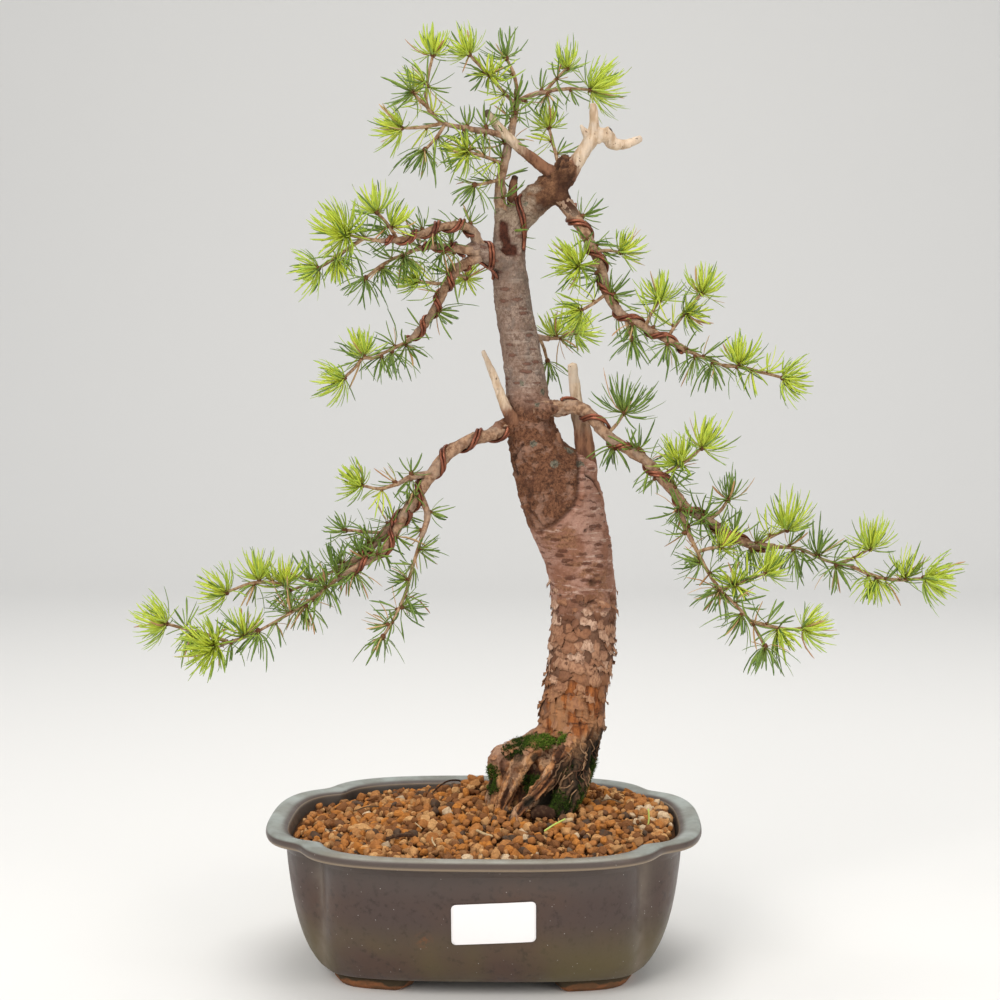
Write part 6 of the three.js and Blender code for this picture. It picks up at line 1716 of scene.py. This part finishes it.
def granules(soil):
    """Two layers of granules in rows, moved at random, that keep clear of the wood and the wall."""
    random = np.random.default_rng(11)
    shape, shape_faces = ball()
    limit = pot_outline(GRAIN_WALL_OFFSET)
    turn = np.arctan2(limit[:, 1], limit[:, 0])
    order = np.argsort(turn)
    reach = np.hypot(*limit.T)
    grains = [(np.array(PALE_GRAIN[:3]), PALE_GRAIN[3], 1.0)]
    for pitch, level in GRAIN_LAYERS:
        for row, y in enumerate(np.arange(-GRAIN_FIELD_Y, GRAIN_FIELD_Y, pitch * GRAIN_ROW_SHARE)):
            for x in np.arange(-GRAIN_FIELD_X, GRAIN_FIELD_X, pitch) + (row % 2) * pitch / 2:
                px, py = x + random.normal(0, 0.9), y + random.normal(0, 0.9)
                radius = random.uniform(2.0, 4.1) if random.random() < 0.7 else random.uniform(1.4, 2.3)
                rim = np.interp(math.atan2(py, px), turn[order], reach[order], period=2 * math.pi)
                if math.hypot(px, py) > rim - radius * 0.85:
                    continue
                centre = np.array([px, py, float(mound(px, py)) + level + random.normal(0, 0.7)])
                tone = random.random()
                pale = any(math.hypot(px - at[0], py - at[1]) < far for at, far in PALE_PLACES)
                tone = random.uniform(0.38, 0.58) if pale and random.random() < 0.6 else tone
                if inside_wood(centre, -0.5) or np.linalg.norm(centre - grains[0][0]) < 5:
                    continue
                grains.append((centre, radius, 1.0 if pale and random.random() < 0.16 else tone))
    for back, name in ((False, "granules_front"), (True, "granules_back")):
        chosen = [grain for grain in grains if (grain[0][1] > 0) == back]
        points = [granule(shape, centre, radius, random) for centre, radius, _ in chosen]
        faces = [tuple(f) for k in range(len(chosen)) for f in (shape_faces + k * len(shape)).tolist()]
        tones = np.repeat([tone for _, _, tone in chosen], len(shape))
        centres = np.repeat([centre[2] for centre, _, _ in chosen], len(shape))
        shade = 0.8 * smoothstep(centres - np.vstack(points)[:, 2], -0.6, 2.4)
        marks = {"tone": tones, "shade": shade}
        make_piece(name, np.vstack(points), faces, [soil], "soil", marks=marks, rounded=False)


earth = soil_clay()
soil_bed(earth)
granules(earth)

# Litter: dry rootlets, twig bits and pale splinters that lie on the granules, and two
# green blades of grass that grow between them.
LITTER = [
    ([(-34, 44, 0.4), (-29, 48, 4.0), (-24, 52, 5.2), (-18, 57, 3.4), (-15, 59, 0.2)], 0.55, 0.0),
    ([(-55, -50, 0.6), (-47, -48, 1.4), (-38, -47, 0.9)], 0.9, 0.0),
    ([(-52, -44, 0.8), (-46, -46, 1.6), (-41, -43, 0.9)], 0.6, 0.1),
    ([(-40, -24, 0.8), (-37.5, -30, 1.0), (-35.5, -34, 0.6)], 0.4, 0.9),
    ([(-28, -55, 2.0), (-27.6, -60, 1.4), (-25.6, -66, 0.4)], 0.55, 1.0),
    ([(-3, -44, 1.8), (1, -48, 1.4), (6, -50, 0.5)], 0.8, 0.9),
    ([(46, -30, 0.8), (52, -28, 1.6)], 1.2, 1.0), ([(70, 8, 1.0), (76, 12, 1.6), (82, 10, 0.8)], 0.4, 0.2),
    ([(-80, 20, 1.0), (-74, 25, 1.6), (-66, 24, 0.8)], 0.4, 0.1),
    ([(20, 60, 1.0), (28, 64, 1.8), (38, 62, 0.8)], 0.5, 0.1),
    ([(30, -15, -1.0), (35, -18, 1.6), (40, -16, -1.0)], 4.0, 0.0),
]
GRASS = [
    [(36, -43, 0.4), (41, -38, 1.8), (48, -31, 2.8)],
    [(97, -21, -1), (97.4, -21.5, 3), (97, -22, 8.5)],
]
GRASS_RADIUS = 0.55


def lying(stations, radius):
    """Stations given as (x, y, height over the granules), as tube() takes them."""
    return [(x, y, float(mound(x, y)) + GRAIN_STAND + up, radius) for x, y, up in stations]


def dry_litter():
    dry = Finish("dry_litter", 0.9, 0.1)
    colour = dry.coats(
        (0.045, 0.022, 0.014),
        ((0.54, 0.4, 0.23), dry.mark("tone")),
        ((0.12, 0.07, 0.04), dry.ease(dry.noise(500, 3), 0.5, 0.65, 0.0, 0.5)),
    )
    return dry.done(colour, dry.noise(900, 3), 0.0002)


def grass_green():
    green = Finish("grass_green", 0.6, 0.2)
    return green.done(green.coats((0.42, 0.58, 0.09), ((0.6, 0.68, 0.22), green.noise(200, 3))))


def litter():
    bodies = [tube(lying(stations, radius), 7, 0.9) for stations, radius, _ in LITTER]
    tones = [np.full(len(body[0]), tone) for body, (_, _, tone) in zip(bodies, LITTER)]
    marks = {"tone": np.concatenate(tones)}
    make_piece("soil_litter", *join_bodies(bodies), [dry_litter()], "soil", marks=marks)
    blades = [tube(lying(blade, GRASS_RADIUS), 6, 0.9) for blade in GRASS]
    make_piece("grass_blades", *join_bodies(blades), [grass_green()], "needles_fresh")


litter()
